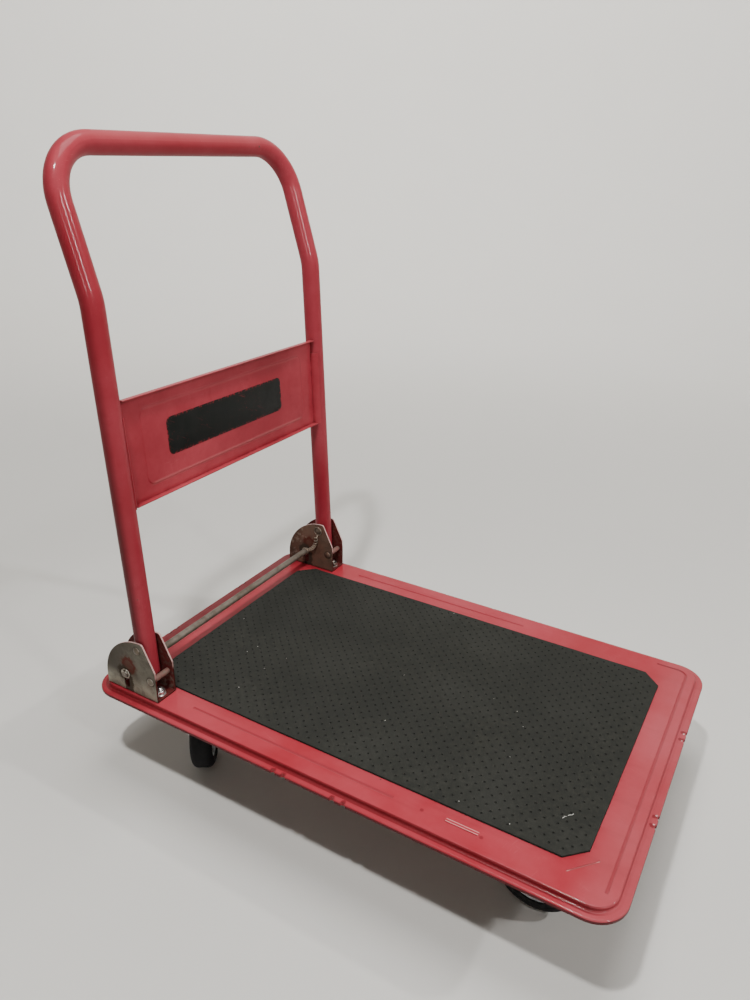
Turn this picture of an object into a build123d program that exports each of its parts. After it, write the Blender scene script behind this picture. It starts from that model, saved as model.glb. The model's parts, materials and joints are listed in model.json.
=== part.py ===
"""Folding platform truck: a pressed steel deck on four casters with a fold-down tubular handle.

Row frame: origin on the floor under the middle of the deck, +X to the front (away from the
handle), +Y to the left, +Z up. All lengths are in millimetres.
"""

from build123d import *
import os
from math import cos, radians, sin, tan

os.makedirs("parts", exist_ok=True)

# ------------------------------------------------------------------ driving dimensions

# deck: one pressed sheet with a raised plate, a step, a flat lip and a turned-down rim
deck_length = 726.0
deck_width = 480.0
deck_top = 142.0            # height of the raised plate above the floor
deck_sheet = 1.5
deck_corner = 38.0          # outer corner radius in plan
deck_lip = 10.5             # width of the lip outside the step
deck_step = 5.5             # how far the raised plate stands above the lip
deck_rim = 5.0              # how far the rim turns down below the lip
deck_bend = 2.5             # outer radius of the pressed bends
deck_foot = 2.5             # inner radius where the step meets the lip

deck_crease_inset = 13.0    # from the step to the front crease
deck_crease_depth = 0.8
deck_crease_radius = 3.0    # of the round tool that pressed it
deck_crease_corner = 14.0
deck_crease_return = 42.0   # how far the crease turns back along the left side
side_crease_inset = 23.0    # from the step to the creases along the sides
side_crease_rear = -203.0   # x of their rear ends
side_crease_length = 300.0
crimp_radius = 3.5
crimp_depth = 2.5
crimp_pitch = 15.0          # between the two dents of a pair
crimp_spread_long = 84.0    # between the two pairs on a long side
crimp_spread_short = 162.0  # between the two pairs on a short side
bead_length = 41.0          # raised bead on the right side
bead_width = 5.0
bead_height = 0.7
bead_setback = 181.5        # its middle, from the deck's front end
bead_inset = 25.0           # and from the step
score_setback = 53.0        # middle of the slanting score in the front right corner
score_inset = 43.5
score_length = 40.0
score_angle = 48.0          # degrees from +X
score_radius = 1.5
score_depth = 0.5

# rubber mat
mat_end_gap = 57.0          # from the deck's ends
mat_bracket_gap = 5.7       # from the hinge brackets
mat_thickness = 2.5
mat_shift = 5.0             # the mat lies this far in front of the deck's middle
mat_side_shift = -1.7       # and this far to its left
mat_corner_cut = 23.0

# channels under the deck
rail_width = 100.0
rail_depth = 15.5
rail_sheet = 2.0
rail_side_gap = 34.0        # from the deck's sides
spine_width = 70.0          # lengthwise channel between the two rails

# handle: one bent tube
tube_diameter = 27.0
tube_wall = 1.5
handle_foot_setback = 89.4  # centre line at the deck's top, from the deck's rear end
handle_lean = 2.4           # degrees back from upright, lower part
handle_upper_lean = 16.5    # degrees back from upright, upper part
handle_kink_height = 515.0  # above the deck
handle_grip_height = 674.0  # centre line of the grip above the deck
handle_kink_bend = 76.0     # centre line radius at the kink
handle_corner_bend = 62.0   # centre line radius at the grip's ends
tube_end_height = 32.5      # lower end of the tube above the deck
tube_end_wall = 2.0

# panel between the uprights
panel_low = 265.0           # above the deck
panel_high = 400.0
panel_sheet = 1.2
panel_flange = 9.0          # depth of the top and bottom edges, bent forward
panel_bend = 2.0            # outer radius of those bends
strap_wrap = 55.0           # degrees that each end of the panel wraps round its tube
strap_drop = 20.0           # the wrapped ends start this far below the panel's top
weld_gap = 0.1              # between the wrapped ends and the tubes
field_inset_side = 28.0     # border of the pressed field in the panel
field_inset_edge = 17.0
field_height = 0.8
field_slope = 65.0          # degrees from square of the field's pressed edge
field_corner = 12.0

# hinge brackets: U channels on the deck, one round each tube end
bracket_edge_gap = 3.8      # from the deck's step
bracket_width = 34.0
bracket_sheet = 2.2
bracket_bend = 3.0          # outer radius of the channel's bends
bracket_front_reach = 28.5  # from the pivot to the front edge
bracket_back_reach = 62.5
ear_crown_radius = 69.5     # of the one arc from the back edge to the shoulder
ear_crown_height = 15.5     # of that arc's centre above the deck
ear_shoulder_reach = 10.0   # from the pivot to the shoulder's corner
ear_knee_height = 47.0
ear_shoulder_round = 4.0
ear_knee_round = 6.0

# handle pivot, stop pin and release bar
pivot_height = 72.5         # above the deck
pivot_diameter = 7.0
stop_pin_reach = 19.3       # in front of the pivot
stop_pin_height = 31.0
stop_pin_diameter = 7.5
pin_head_diameter = 11.0
pin_head_height = 2.0
bar_back_reach = 25.5       # behind the pivot
bar_height = 28.5
bar_diameter = 10.0
bar_end_diameter = 8.0
bar_end_reach = 4.0         # how far its ends stand out of the outer ears
slot_travel_down = 18.0     # the bar's way down in its slots
slot_travel_up = 1.0
spring_diameter = 5.0
spring_top_angle = -110.0   # degrees from +X, from the pivot pin to the spring's upper end
spring_foot_angle = 45.0    # and from the release bar to its lower end
spring_sag = 3.0            # how far the slack spring bows forward and down

# casters
wheel_diameter = 100.0
tyre_width = 30.0
tyre_depth = 14.0
tyre_round = 9.0
hub_boss_width = 34.0
hub_boss_radius = 12.0
hub_rim_width = 25.0
hub_rim_depth = 6.0
hub_web = 7.0
axle_diameter = 8.0
axle_head_diameter = 13.0
axle_head_height = 5.0
fork_gap = 36.0
fork_sheet = 2.5
fork_eye_radius = 13.0
fork_top_width = 50.0
caster_end_setback = 110.0  # from the deck's ends to the plates' middles
caster_side_setback = 106.0
plate_length = 95.0
plate_width = 67.0
plate_thickness = 2.5
plate_corner = 8.0
caster_trail = 25.0         # from the swivel axis to the axle
race_radius = 27.0
race_height = 8.5
crown_thickness = 5.0
kingpin_diameter = 12.0
kingpin_head_diameter = 20.0
kingpin_head_height = 3.0
heading = {"left": 165.0, "right": -56.0}   # where each rear wheel trails, degrees from +X

# clearances
pin_clearance = 0.05        # radial, shaft in hole
seat_gap = 0.3              # between faces that turn on each other
bar_slot_clearance = 0.5    # radial, release bar's ends in their slots

# ------------------------------------------------------------------ worked out from them

sides = {"left": 1, "right": -1}
deck_lip_top = deck_top - deck_step
deck_rim_bottom = deck_lip_top - deck_rim
deck_underside = deck_top - deck_sheet
step_x = deck_length / 2 - deck_lip     # the step's edges on the raised plate
step_y = deck_width / 2 - deck_lip
rail_bottom = deck_underside - rail_depth
caster_wheelbase = deck_length - 2 * caster_end_setback
caster_track = deck_width - 2 * caster_side_setback
rail_x = caster_wheelbase / 2
rail_span = deck_width - 2 * rail_side_gap

tube_y = step_y - bracket_edge_gap - bracket_width / 2
tube_spacing = 2 * tube_y
mat_length = deck_length - 2 * mat_end_gap
mat_width = tube_spacing - bracket_width - 2 * mat_bracket_gap
handle_foot_x = handle_foot_setback - deck_length / 2
pivot_x = handle_foot_x - tan(radians(handle_lean)) * pivot_height
pivot_z = deck_top + pivot_height


def handle_axis_x(height):
    """X of the handle's centre line at a height above the deck."""
    lower = min(height, handle_kink_height)
    upper = max(height - handle_kink_height, 0.0)
    return handle_foot_x - tan(radians(handle_lean)) * lower - tan(radians(handle_upper_lean)) * upper


bracket_front = pivot_x + bracket_front_reach
bracket_back = pivot_x - bracket_back_reach
bracket_gap = bracket_width - 2 * bracket_sheet
bar_x = pivot_x - bar_back_reach
bar_z = deck_top + bar_height
stop_pin_x = pivot_x + stop_pin_reach
stop_pin_z = deck_top + stop_pin_height

wheel_radius = wheel_diameter / 2
tyre_inner = wheel_radius - tyre_depth
plate_bottom = rail_bottom - plate_thickness
race_bottom = plate_bottom - race_height
crown_top = race_bottom - seat_gap
crown_bottom = crown_top - crown_thickness
fork_width = fork_gap + 2 * fork_sheet


def across(y):
    """The upright lengthwise plane at y, drawn with X to the right and Z up."""
    return Plane.XZ.offset(-y)


def finish(name, piece):
    """Label a finished piece and write it under its node's name."""
    piece.label = name
    export_step(piece, f"parts/{name}.step")


# ------------------------------------------------------------------ deck

with BuildPart() as deck_pan:
    with BuildSketch(Plane.XY.offset(deck_rim_bottom)):
        RectangleRounded(deck_length, deck_width, deck_corner)
    extrude(amount=deck_rim)
    with BuildSketch(Plane.XY.offset(deck_lip_top)):
        RectangleRounded(
            deck_length - 2 * deck_lip, deck_width - 2 * deck_lip, deck_corner - deck_lip
        )
    extrude(amount=deck_step)
    fillet(deck_pan.faces().sort_by(Axis.Z)[-1].edges(), deck_bend)
    lip = deck_pan.faces().filter_by(Axis.Z).sort_by(Axis.Z)[-2]
    fillet(lip.inner_wires()[0].edges(), deck_foot)
    lip = deck_pan.faces().filter_by(Axis.Z).sort_by(Axis.Z)[-2]
    fillet(lip.outer_wire().edges(), deck_bend)
    # the sheet's own thickness, left by hollowing the pan from below
    with BuildSketch(Plane.XY.offset(deck_rim_bottom)):
        RectangleRounded(
            deck_length - 2 * deck_sheet, deck_width - 2 * deck_sheet, deck_corner - deck_sheet
        )
    extrude(amount=deck_rim - deck_sheet, mode=Mode.SUBTRACT)
    with BuildSketch(Plane.XY.offset(deck_lip_top - deck_sheet)):
        RectangleRounded(
            deck_length - 2 * (deck_lip + deck_sheet),
            deck_width - 2 * (deck_lip + deck_sheet),
            deck_corner - deck_lip - deck_sheet,
        )
    extrude(amount=deck_step, mode=Mode.SUBTRACT)

    # creases pressed into the raised plate, cut by a round tool that runs above it
    tool_z = deck_top + deck_crease_radius - deck_crease_depth
    crease_x = step_x - deck_crease_inset
    crease_y = step_y - deck_crease_inset
    with BuildLine() as front_crease:
        FilletPolyline(
            (crease_x, side_crease_inset - step_y, tool_z),
            (crease_x, crease_y, tool_z),
            (crease_x - deck_crease_return, crease_y, tool_z),
            radius=deck_crease_corner,
        )
    with BuildSketch(Plane(origin=front_crease.line @ 0, z_dir=front_crease.line % 0)):
        Circle(deck_crease_radius)
    sweep(path=front_crease.line, mode=Mode.SUBTRACT)
    for sign in sides.values():
        start = (side_crease_rear, sign * (step_y - side_crease_inset), tool_z)
        with BuildSketch(Plane(origin=start, z_dir=(1, 0, 0))):
            Circle(deck_crease_radius)
        extrude(amount=side_crease_length, mode=Mode.SUBTRACT)
    # a bead and a slanting score on the right side
    with BuildSketch(Plane.XY.offset(deck_top)):
        with Locations((deck_length / 2 - bead_setback, bead_inset - step_y)):
            SlotOverall(bead_length, bead_width)
    extrude(amount=bead_height)
    with BuildSketch(
        Plane(
            origin=(
                deck_length / 2 - score_setback,
                score_inset - step_y,
                deck_top + score_radius - score_depth,
            ),
            z_dir=(cos(radians(score_angle)), sin(radians(score_angle)), 0),
        )
    ):
        Circle(score_radius)
    extrude(amount=score_length / 2, both=True, mode=Mode.SUBTRACT)

    # dents crimped through the rim and the lip's edge in pairs; the sheet bulges as far inside
    for half, spread, turn in (
        (deck_width / 2, crimp_spread_long, 0),
        (deck_length / 2, crimp_spread_short, 90),
    ):
        tool = half + crimp_radius - crimp_depth
        dents = [
            (group * spread / 2 + dent * crimp_pitch / 2, face * tool)
            for face in (-1, 1)
            for group in (-1, 1)
            for dent in (-1, 1)
        ]
        for radius, height, mode in (
            (crimp_radius + deck_sheet, deck_rim - deck_sheet, Mode.ADD),
            (crimp_radius, deck_rim, Mode.SUBTRACT),
        ):
            with BuildSketch(Plane.XY.offset(deck_rim_bottom)) as crimps:
                with Locations(Plane.XY.rotated((0, 0, turn))):
                    with Locations(*dents):
                        Circle(radius)
                if mode == Mode.ADD:
                    Rectangle(
                        deck_length - deck_sheet, deck_width - deck_sheet, mode=Mode.INTERSECT
                    )
            extrude(amount=height, mode=mode)
finish("deck_pan", deck_pan.part)

with BuildPart() as deck_mat:
    with BuildSketch(Plane.XY.offset(deck_top)) as mat_outline:
        with Locations((mat_shift, mat_side_shift)):
            Rectangle(mat_length, mat_width)
        chamfer(mat_outline.vertices(), mat_corner_cut)
    extrude(amount=mat_thickness)
finish("deck_mat", deck_mat.part)

# ------------------------------------------------------------------ channels under the deck

for end, direction in {"front": 1, "rear": -1}.items():
    with BuildPart() as caster_rail:
        with BuildSketch(Plane.XY.offset(rail_bottom)):
            with Locations((direction * rail_x, 0)):
                Rectangle(rail_width, rail_span)
        extrude(amount=rail_depth)
        with BuildSketch(Plane.XY.offset(rail_bottom + rail_sheet)):
            with Locations((direction * rail_x, 0)):
                Rectangle(rail_width - 2 * rail_sheet, rail_span)
        extrude(amount=rail_depth, mode=Mode.SUBTRACT)
    finish(f"caster_rail_{end}", caster_rail.part)

with BuildPart() as deck_spine:
    spine_length = caster_wheelbase - rail_width
    with BuildSketch(Plane.XY.offset(rail_bottom)):
        Rectangle(spine_length, spine_width)
    extrude(amount=rail_depth)
    with BuildSketch(Plane.XY.offset(rail_bottom + rail_sheet)):
        Rectangle(spine_length, spine_width - 2 * rail_sheet)
    extrude(amount=rail_depth, mode=Mode.SUBTRACT)
finish("deck_spine", deck_spine.part)

# ------------------------------------------------------------------ handle

with BuildPart() as handle_frame:
    corner = (handle_axis_x(handle_grip_height), deck_top + handle_grip_height)
    kink = (handle_axis_x(handle_kink_height), deck_top + handle_kink_height)
    foot = (handle_axis_x(tube_end_height), deck_top + tube_end_height)
    with BuildLine() as handle_path:
        FilletPolyline(
            (foot[0], tube_y, foot[1]),
            (kink[0], tube_y, kink[1]),
            (corner[0], tube_y, corner[1]),
            (corner[0], -tube_y, corner[1]),
            (kink[0], -tube_y, kink[1]),
            (foot[0], -tube_y, foot[1]),
            radius=[handle_kink_bend, handle_corner_bend, handle_corner_bend, handle_kink_bend],
        )
    with BuildSketch(Plane(origin=handle_path.line @ 0, z_dir=handle_path.line % 0)):
        Circle(tube_diameter / 2)
        Circle(tube_diameter / 2 - tube_wall, mode=Mode.SUBTRACT)
    sweep(path=handle_path.line)
    for end, inward in ((0, 1), (1, -1)):
        along = (handle_path.line % end) * inward
        with BuildSketch(Plane(origin=handle_path.line @ end, z_dir=along)):
            Circle(tube_diameter / 2)
        extrude(amount=tube_end_wall)
    # holes for the pivot pins
    with BuildSketch(across(0)):
        with Locations((pivot_x, pivot_z)):
            Circle(pivot_diameter / 2 + pin_clearance)
    extrude(amount=tube_spacing, both=True, mode=Mode.SUBTRACT)
finish("handle_frame", handle_frame.part)


def handle_plane(height):
    """A plane square to the lower uprights at a height above the deck: X forward, Y left."""
    lean = radians(handle_lean)
    return Plane(
        origin=(handle_axis_x(height), 0, deck_top + height),
        x_dir=(cos(lean), 0, sin(lean)),
        z_dir=(-sin(lean), 0, cos(lean)),
    )


panel_span = tube_spacing - tube_diameter - 2 * weld_gap
panel_height = (panel_high - panel_low) / cos(radians(handle_lean))
panel_foot = handle_plane(panel_low)

with BuildPart() as handle_panel:
    # a shallow tray, open to the front between its top and bottom flanges
    with BuildSketch(Plane(panel_foot.origin, x_dir=panel_foot.x_dir, z_dir=(0, -1, 0))) as tray:
        Rectangle(panel_flange, panel_height, align=Align.MIN)
        fillet(tray.vertices().group_by(Axis.X)[0], panel_bend)
        with Locations((panel_sheet, panel_sheet)):
            Rectangle(panel_flange, panel_height - 2 * panel_sheet, align=Align.MIN, mode=Mode.SUBTRACT)
    extrude(amount=panel_span / 2, both=True)
    # the pressed field: raised in front, hollow behind
    field = Plane(
        panel_foot.origin + panel_foot.z_dir * panel_height / 2,
        x_dir=panel_foot.y_dir,
        z_dir=panel_foot.x_dir,
    )
    field_width = panel_span - 2 * field_inset_side
    field_rise = panel_height - 2 * field_inset_edge
    with BuildSketch(field.offset(panel_sheet)):
        RectangleRounded(field_width, field_rise, field_corner)
    extrude(amount=field_height, taper=field_slope)
    with BuildSketch(field):
        RectangleRounded(
            field_width - 2 * panel_sheet, field_rise - 2 * panel_sheet, field_corner - panel_sheet
        )
    extrude(amount=field_height, taper=field_slope, mode=Mode.SUBTRACT)
    # the ends wrap forward round the tubes
    wrap_inner = tube_diameter / 2 + weld_gap
    for sign in sides.values():
        centre = (0, sign * tube_y)
        start = -90 * sign
        with BuildSketch(panel_foot):
            with BuildLine():
                inner = CenterArc(centre, wrap_inner, start, sign * strap_wrap)
                outer = CenterArc(centre, wrap_inner + panel_sheet, start, sign * strap_wrap)
                Line(inner @ 0, outer @ 0)
                Line(inner @ 1, outer @ 1)
            make_face()
        extrude(amount=panel_height - strap_drop)
finish("handle_panel", handle_panel.part)

# ------------------------------------------------------------------ hinge brackets and their pins

for side, sign in sides.items():
    y = sign * tube_y
    with BuildPart() as hinge_bracket:
        with BuildSketch(across(y)):
            with BuildLine():
                crown = (bracket_back + ear_crown_radius, deck_top + ear_crown_height)
                FilletPolyline(
                    (crown[0], crown[1] + ear_crown_radius),
                    (pivot_x + ear_shoulder_reach, crown[1] + ear_crown_radius),
                    (bracket_front, deck_top + ear_knee_height),
                    (bracket_front, deck_top),
                    radius=[ear_shoulder_round, ear_knee_round],
                )
                Polyline((bracket_front, deck_top), (bracket_back, deck_top), (bracket_back, crown[1]))
                CenterArc(crown, ear_crown_radius, 90, 90)
            make_face()
        extrude(amount=bracket_width / 2, both=True)
        # the channel's section: everything outside its bends goes, then its inside
        channel = Plane(origin=(bracket_back, y, deck_top), x_dir=(0, 1, 0), z_dir=(1, 0, 0))
        for inset, mode in ((0.0, Mode.INTERSECT), (bracket_sheet, Mode.SUBTRACT)):
            with BuildSketch(channel) as section:
                with Locations((0, inset)):
                    Rectangle(
                        bracket_width - 2 * inset, 2 * ear_crown_radius,
                        align=(Align.CENTER, Align.MIN),
                    )
                fillet(section.vertices().group_by(Axis.Z)[0], bracket_bend - inset)
            extrude(amount=bracket_front - bracket_back, mode=mode)
        # holes for the two pins, and the slots that the release bar slides in
        with BuildSketch(across(y)):
            with Locations((pivot_x, pivot_z)):
                Circle(pivot_diameter / 2 + pin_clearance)
            with Locations((stop_pin_x, stop_pin_z)):
                Circle(stop_pin_diameter / 2 + pin_clearance)
            slot_length = slot_travel_up + slot_travel_down + bar_end_diameter + 2 * bar_slot_clearance
            with Locations((bar_x, bar_z + (slot_travel_up - slot_travel_down) / 2)):
                SlotOverall(slot_length, bar_end_diameter + 2 * bar_slot_clearance, rotation=90)
        extrude(amount=bracket_width, both=True, mode=Mode.SUBTRACT)
    finish(f"hinge_bracket_{side}", hinge_bracket.part)

    for pin, x, z, diameter in (
        ("pivot_pin", pivot_x, pivot_z, pivot_diameter),
        ("stop_pin", stop_pin_x, stop_pin_z, stop_pin_diameter),
    ):
        with BuildPart() as ear_pin:
            with BuildSketch(across(y)):
                with Locations((x, z)):
                    Circle(diameter / 2)
            extrude(amount=bracket_width / 2 + pin_head_height, both=True)
            for face in (-1, 1):
                head_start = y + face * bracket_width / 2
                with BuildSketch(across(head_start)):
                    with Locations((x, z)):
                        Circle(pin_head_diameter / 2)
                extrude(amount=-face * pin_head_height)
        finish(f"{pin}_{side}", ear_pin.part)

with BuildPart() as release_bar:
    with BuildSketch(across(0)):
        with Locations((bar_x, bar_z)):
            Circle(bar_diameter / 2)
    extrude(amount=tube_y - bracket_width / 2 - seat_gap, both=True)
    with BuildSketch(across(0)):
        with Locations((bar_x, bar_z)):
            Circle(bar_end_diameter / 2)
    extrude(amount=tube_y + bracket_width / 2 + bar_end_reach, both=True)
finish("release_bar", release_bar.part)

# the slack coil springs between pivot pins and release bar, as plain solids of their outer shape
spring_top_reach = (pin_head_diameter + spring_diameter) / 2 + seat_gap
spring_foot_reach = (bar_diameter + spring_diameter) / 2 + seat_gap
spring_start = (
    pivot_x + spring_top_reach * cos(radians(spring_top_angle)),
    pivot_z + spring_top_reach * sin(radians(spring_top_angle)),
)
spring_end = (
    bar_x + spring_foot_reach * cos(radians(spring_foot_angle)),
    bar_z + spring_foot_reach * sin(radians(spring_foot_angle)),
)
for side, sign in sides.items():
    spring_y = sign * (tube_y - bracket_width / 2 - seat_gap - spring_diameter / 2)
    middle = ((spring_start[0] + spring_end[0]) / 2, (spring_start[1] + spring_end[1]) / 2)
    with BuildPart() as latch_spring:
        with BuildLine() as spring_path:
            ThreePointArc(
                (spring_start[0], spring_y, spring_start[1]),
                (middle[0] + spring_sag, spring_y, middle[1] - spring_sag),
                (spring_end[0], spring_y, spring_end[1]),
            )
        with BuildSketch(Plane(origin=spring_path.line @ 0, z_dir=spring_path.line % 0)):
            Circle(spring_diameter / 2)
        sweep(path=spring_path.line)
    finish(f"latch_spring_{side}", latch_spring.part)

# ------------------------------------------------------------------ casters


def upright_plane(centre, angle):
    """An upright plane through centre, its X along the angle's heading and its Y up."""
    a = radians(angle)
    return Plane(origin=centre, x_dir=(cos(a), sin(a), 0), z_dir=(sin(a), -cos(a), 0))


def turned_on_axle(centre, angle):
    """The plane for half sections of a wheel: X is the radius, Y runs along the axle."""
    a = radians(angle)
    return Plane(origin=centre, x_dir=(0, 0, 1), z_dir=(-cos(a), -sin(a), 0))


def axle_axis(centre, angle):
    a = radians(angle)
    return Axis(centre, (-sin(a), cos(a), 0))


def make_fork(plate_centre, angle, trail, top, roof):
    """A pressed fork: two side plates joined by a roof, with an eye for the axle."""
    with BuildPart() as fork:
        with BuildSketch(upright_plane((plate_centre[0], plate_centre[1], 0), angle)):
            with Locations((trail, wheel_radius)):
                Circle(fork_eye_radius)
            with Locations((0, top - roof / 2)):
                Rectangle(fork_top_width, roof)
            make_hull()
        extrude(amount=fork_width / 2, both=True)
        with BuildSketch(upright_plane((plate_centre[0], plate_centre[1], 0), angle)):
            with Locations((0, top - roof)):
                Rectangle(4 * wheel_diameter, 4 * wheel_diameter, align=(Align.CENTER, Align.MAX))
        extrude(amount=fork_gap / 2, both=True, mode=Mode.SUBTRACT)
        with BuildSketch(upright_plane((plate_centre[0], plate_centre[1], 0), angle)):
            with Locations((trail, wheel_radius)):
                Circle(axle_diameter / 2 + pin_clearance)
        extrude(amount=fork_width, both=True, mode=Mode.SUBTRACT)
    return fork.part


def make_axle(centre, angle):
    """A bolt through the fork: a plain shank with a head on each outer side."""
    with BuildPart() as axle:
        with BuildSketch(turned_on_axle(centre, angle)):
            with BuildLine():
                reach = fork_width / 2 + axle_head_height
                Polyline(
                    (0, -reach),
                    (axle_head_diameter / 2, -reach),
                    (axle_head_diameter / 2, -fork_width / 2),
                    (axle_diameter / 2, -fork_width / 2),
                    (axle_diameter / 2, fork_width / 2),
                    (axle_head_diameter / 2, fork_width / 2),
                    (axle_head_diameter / 2, reach),
                    (0, reach),
                    close=True,
                )
            make_face()
        revolve(axis=axle_axis(centre, angle))
    return axle.part


def make_tyre(centre, angle):
    with BuildPart() as tyre:
        with BuildSketch(turned_on_axle(centre, angle)) as section:
            with Locations(((tyre_inner + wheel_radius) / 2, 0)):
                Rectangle(tyre_depth, tyre_width)
            fillet(section.vertices().sort_by(Axis.X)[-2:], tyre_round)
        revolve(axis=axle_axis(centre, angle))
    return tyre.part


def make_hub(centre, angle):
    """A moulded wheel centre: boss with the axle bore, web and rim."""
    bore = axle_diameter / 2 + pin_clearance
    rim_inner = tyre_inner - hub_rim_depth
    with BuildPart() as hub:
        with BuildSketch(turned_on_axle(centre, angle)):
            for low, high, width in (
                (bore, hub_boss_radius, hub_boss_width),
                (bore, tyre_inner, hub_web),
                (rim_inner, tyre_inner, hub_rim_width),
            ):
                with Locations(((low + high) / 2, 0)):
                    Rectangle(high - low, width)
        revolve(axis=axle_axis(centre, angle))
    return hub.part


def make_plate(centre):
    """A caster's mounting plate under its rail."""
    with BuildPart() as plate:
        with BuildSketch(Plane.XY.offset(plate_bottom)):
            with Locations(centre):
                RectangleRounded(plate_length, plate_width, plate_corner)
        extrude(amount=plate_thickness)
    return plate.part


for side, sign in sides.items():
    # fixed caster at the front
    place = (caster_wheelbase / 2, sign * caster_track / 2)
    front_axle = (place[0], place[1], wheel_radius)
    with BuildPart() as fixed_caster:
        add(make_plate(place))
        add(make_fork(place, 0, 0, plate_bottom, fork_sheet))
    finish(f"fixed_fork_{side}", fixed_caster.part)
    finish(f"axle_front_{side}", make_axle(front_axle, 0))
    finish(f"tyre_front_{side}", make_tyre(front_axle, 0))
    finish(f"hub_front_{side}", make_hub(front_axle, 0))

    # swivel caster at the rear
    place = (-caster_wheelbase / 2, sign * caster_track / 2)
    angle = heading[side]
    rear_axle = (
        place[0] + caster_trail * cos(radians(angle)),
        place[1] + caster_trail * sin(radians(angle)),
        wheel_radius,
    )
    with BuildPart() as swivel_plate:
        add(make_plate(place))
        with BuildSketch(Plane.XY.offset(race_bottom)):
            with Locations(place):
                Circle(race_radius)
        extrude(amount=race_height)
        with BuildSketch(Plane.XY.offset(crown_bottom - seat_gap)):
            with Locations(place):
                Circle(kingpin_diameter / 2)
        extrude(amount=race_bottom - crown_bottom + seat_gap)
        with BuildSketch(Plane.XY.offset(crown_bottom - seat_gap - kingpin_head_height)):
            with Locations(place):
                Circle(kingpin_head_diameter / 2)
        extrude(amount=kingpin_head_height)
    finish(f"swivel_plate_{side}", swivel_plate.part)

    with BuildPart() as swivel_fork:
        add(make_fork(place, angle, caster_trail, crown_top, crown_thickness))
        with BuildSketch(Plane.XY.offset(crown_bottom)):
            with Locations(place):
                Circle(race_radius)
        extrude(amount=crown_thickness)
        with BuildSketch(Plane.XY.offset(crown_bottom)):
            with Locations(place):
                Circle(kingpin_diameter / 2 + pin_clearance)
        extrude(amount=crown_thickness, mode=Mode.SUBTRACT)
    finish(f"swivel_fork_{side}", swivel_fork.part)
    finish(f"axle_rear_{side}", make_axle(rear_axle, angle))
    finish(f"tyre_rear_{side}", make_tyre(rear_axle, angle))
    finish(f"hub_rear_{side}", make_hub(rear_axle, angle))
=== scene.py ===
"""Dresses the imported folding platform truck: enamel, rubber, plated steel, fittings and wheels.

All lengths are in metres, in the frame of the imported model: +X to the front, +Y to the left,
+Z up, with the floor at 0.
"""

import json
from math import cos, pi, radians, sin
import random

import bpy
from bpy.props import FloatProperty, FloatVectorProperty, IntProperty, PointerProperty
from mathutils import Matrix, Vector, noise
from mathutils.geometry import delaunay_2d_cdt


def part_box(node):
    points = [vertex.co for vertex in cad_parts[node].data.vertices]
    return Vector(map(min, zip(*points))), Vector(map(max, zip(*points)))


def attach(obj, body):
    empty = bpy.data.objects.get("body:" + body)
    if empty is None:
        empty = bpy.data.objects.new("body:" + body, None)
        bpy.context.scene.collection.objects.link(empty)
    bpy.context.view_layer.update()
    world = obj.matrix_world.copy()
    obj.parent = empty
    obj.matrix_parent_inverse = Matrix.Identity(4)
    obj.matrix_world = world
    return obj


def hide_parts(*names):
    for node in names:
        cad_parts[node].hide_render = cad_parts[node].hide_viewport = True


bl_info = {
    "name": "Platform Truck Dresser",
    "version": (1, 0, 0),
    "blender": (4, 5, 0),
    "location": "View3D > Sidebar > Truck",
    "description": "Builds the finish and the fittings of a folding platform truck",
    "category": "Object",
}

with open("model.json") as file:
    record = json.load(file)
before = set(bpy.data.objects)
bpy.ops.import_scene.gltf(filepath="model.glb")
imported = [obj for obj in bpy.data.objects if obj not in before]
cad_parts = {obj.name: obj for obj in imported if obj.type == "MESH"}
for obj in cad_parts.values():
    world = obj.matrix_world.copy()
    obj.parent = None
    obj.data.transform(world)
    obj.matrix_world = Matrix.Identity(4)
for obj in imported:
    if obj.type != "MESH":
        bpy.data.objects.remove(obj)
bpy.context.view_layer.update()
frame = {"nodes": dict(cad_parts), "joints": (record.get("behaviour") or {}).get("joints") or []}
SIDES = {"left": 1, "right": -1}
WHEELS = [f"{end}_{side}" for end in ("front", "rear") for side in SIDES]
MM = 0.001

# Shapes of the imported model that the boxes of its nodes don't give.
DECK_CORNER = 38.0 * MM  # radius of the deck's corners
DECK_LIP = 10.5 * MM  # width of the flat lip outside the step
BEAD_SETBACK = 181.5 * MM  # from the deck's front edge to the short bead's middle
BEAD_INSET = 25.0 * MM  # from the deck's lip to the bead
BEAD_HALF_WIDTH = 1.7 * MM
BEAD_HALF_LENGTH = 20.5 * MM
SCORE_SETBACK = 53.0 * MM  # from the deck's front edge to the slanting score's middle
SCORE_INSET = 43.5 * MM  # from the deck's lip to the score
SCORE_TURN = radians(48)
SCORE_HALF_LENGTH = 20.5 * MM
SIDE_DENTS = (49.5 * MM, 34.5 * MM)  # each side of the middle, along the deck's long edges
END_DENTS = (88.5 * MM, 73.5 * MM)  # each side of the middle, along its short edges
FIELD_END = 33.8 * MM  # from the panel's end to the end of its pressed field
FIELD_BORDER = 17.0 * MM  # from the panel's top or foot to the field
EAR_INNER_FACE = 15.5 * MM  # from a hinge bracket's middle to the inside of its ears
PLATE_SHEET = 2.5 * MM  # thickness of the casters' top plates


# ------------------------------------------------------------------ settings


def length(name, description, millimetres):
    """A length property, its default given in millimetres."""
    return FloatProperty(
        name=name, description=description, default=millimetres * MM, min=0.0,
        subtype="DISTANCE", unit="LENGTH", precision=5,
    )


def colour(name, description, rgb):
    """A colour property, its default given as linear red, green and blue."""
    return FloatVectorProperty(
        name=name, description=description, default=rgb, size=3, min=0.0, max=1.0, subtype="COLOR"
    )


def share(name, description, value):
    """A property between 0 and 1."""
    return FloatProperty(
        name=name, description=description, default=value, min=0.0, max=1.0, subtype="FACTOR"
    )


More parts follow.
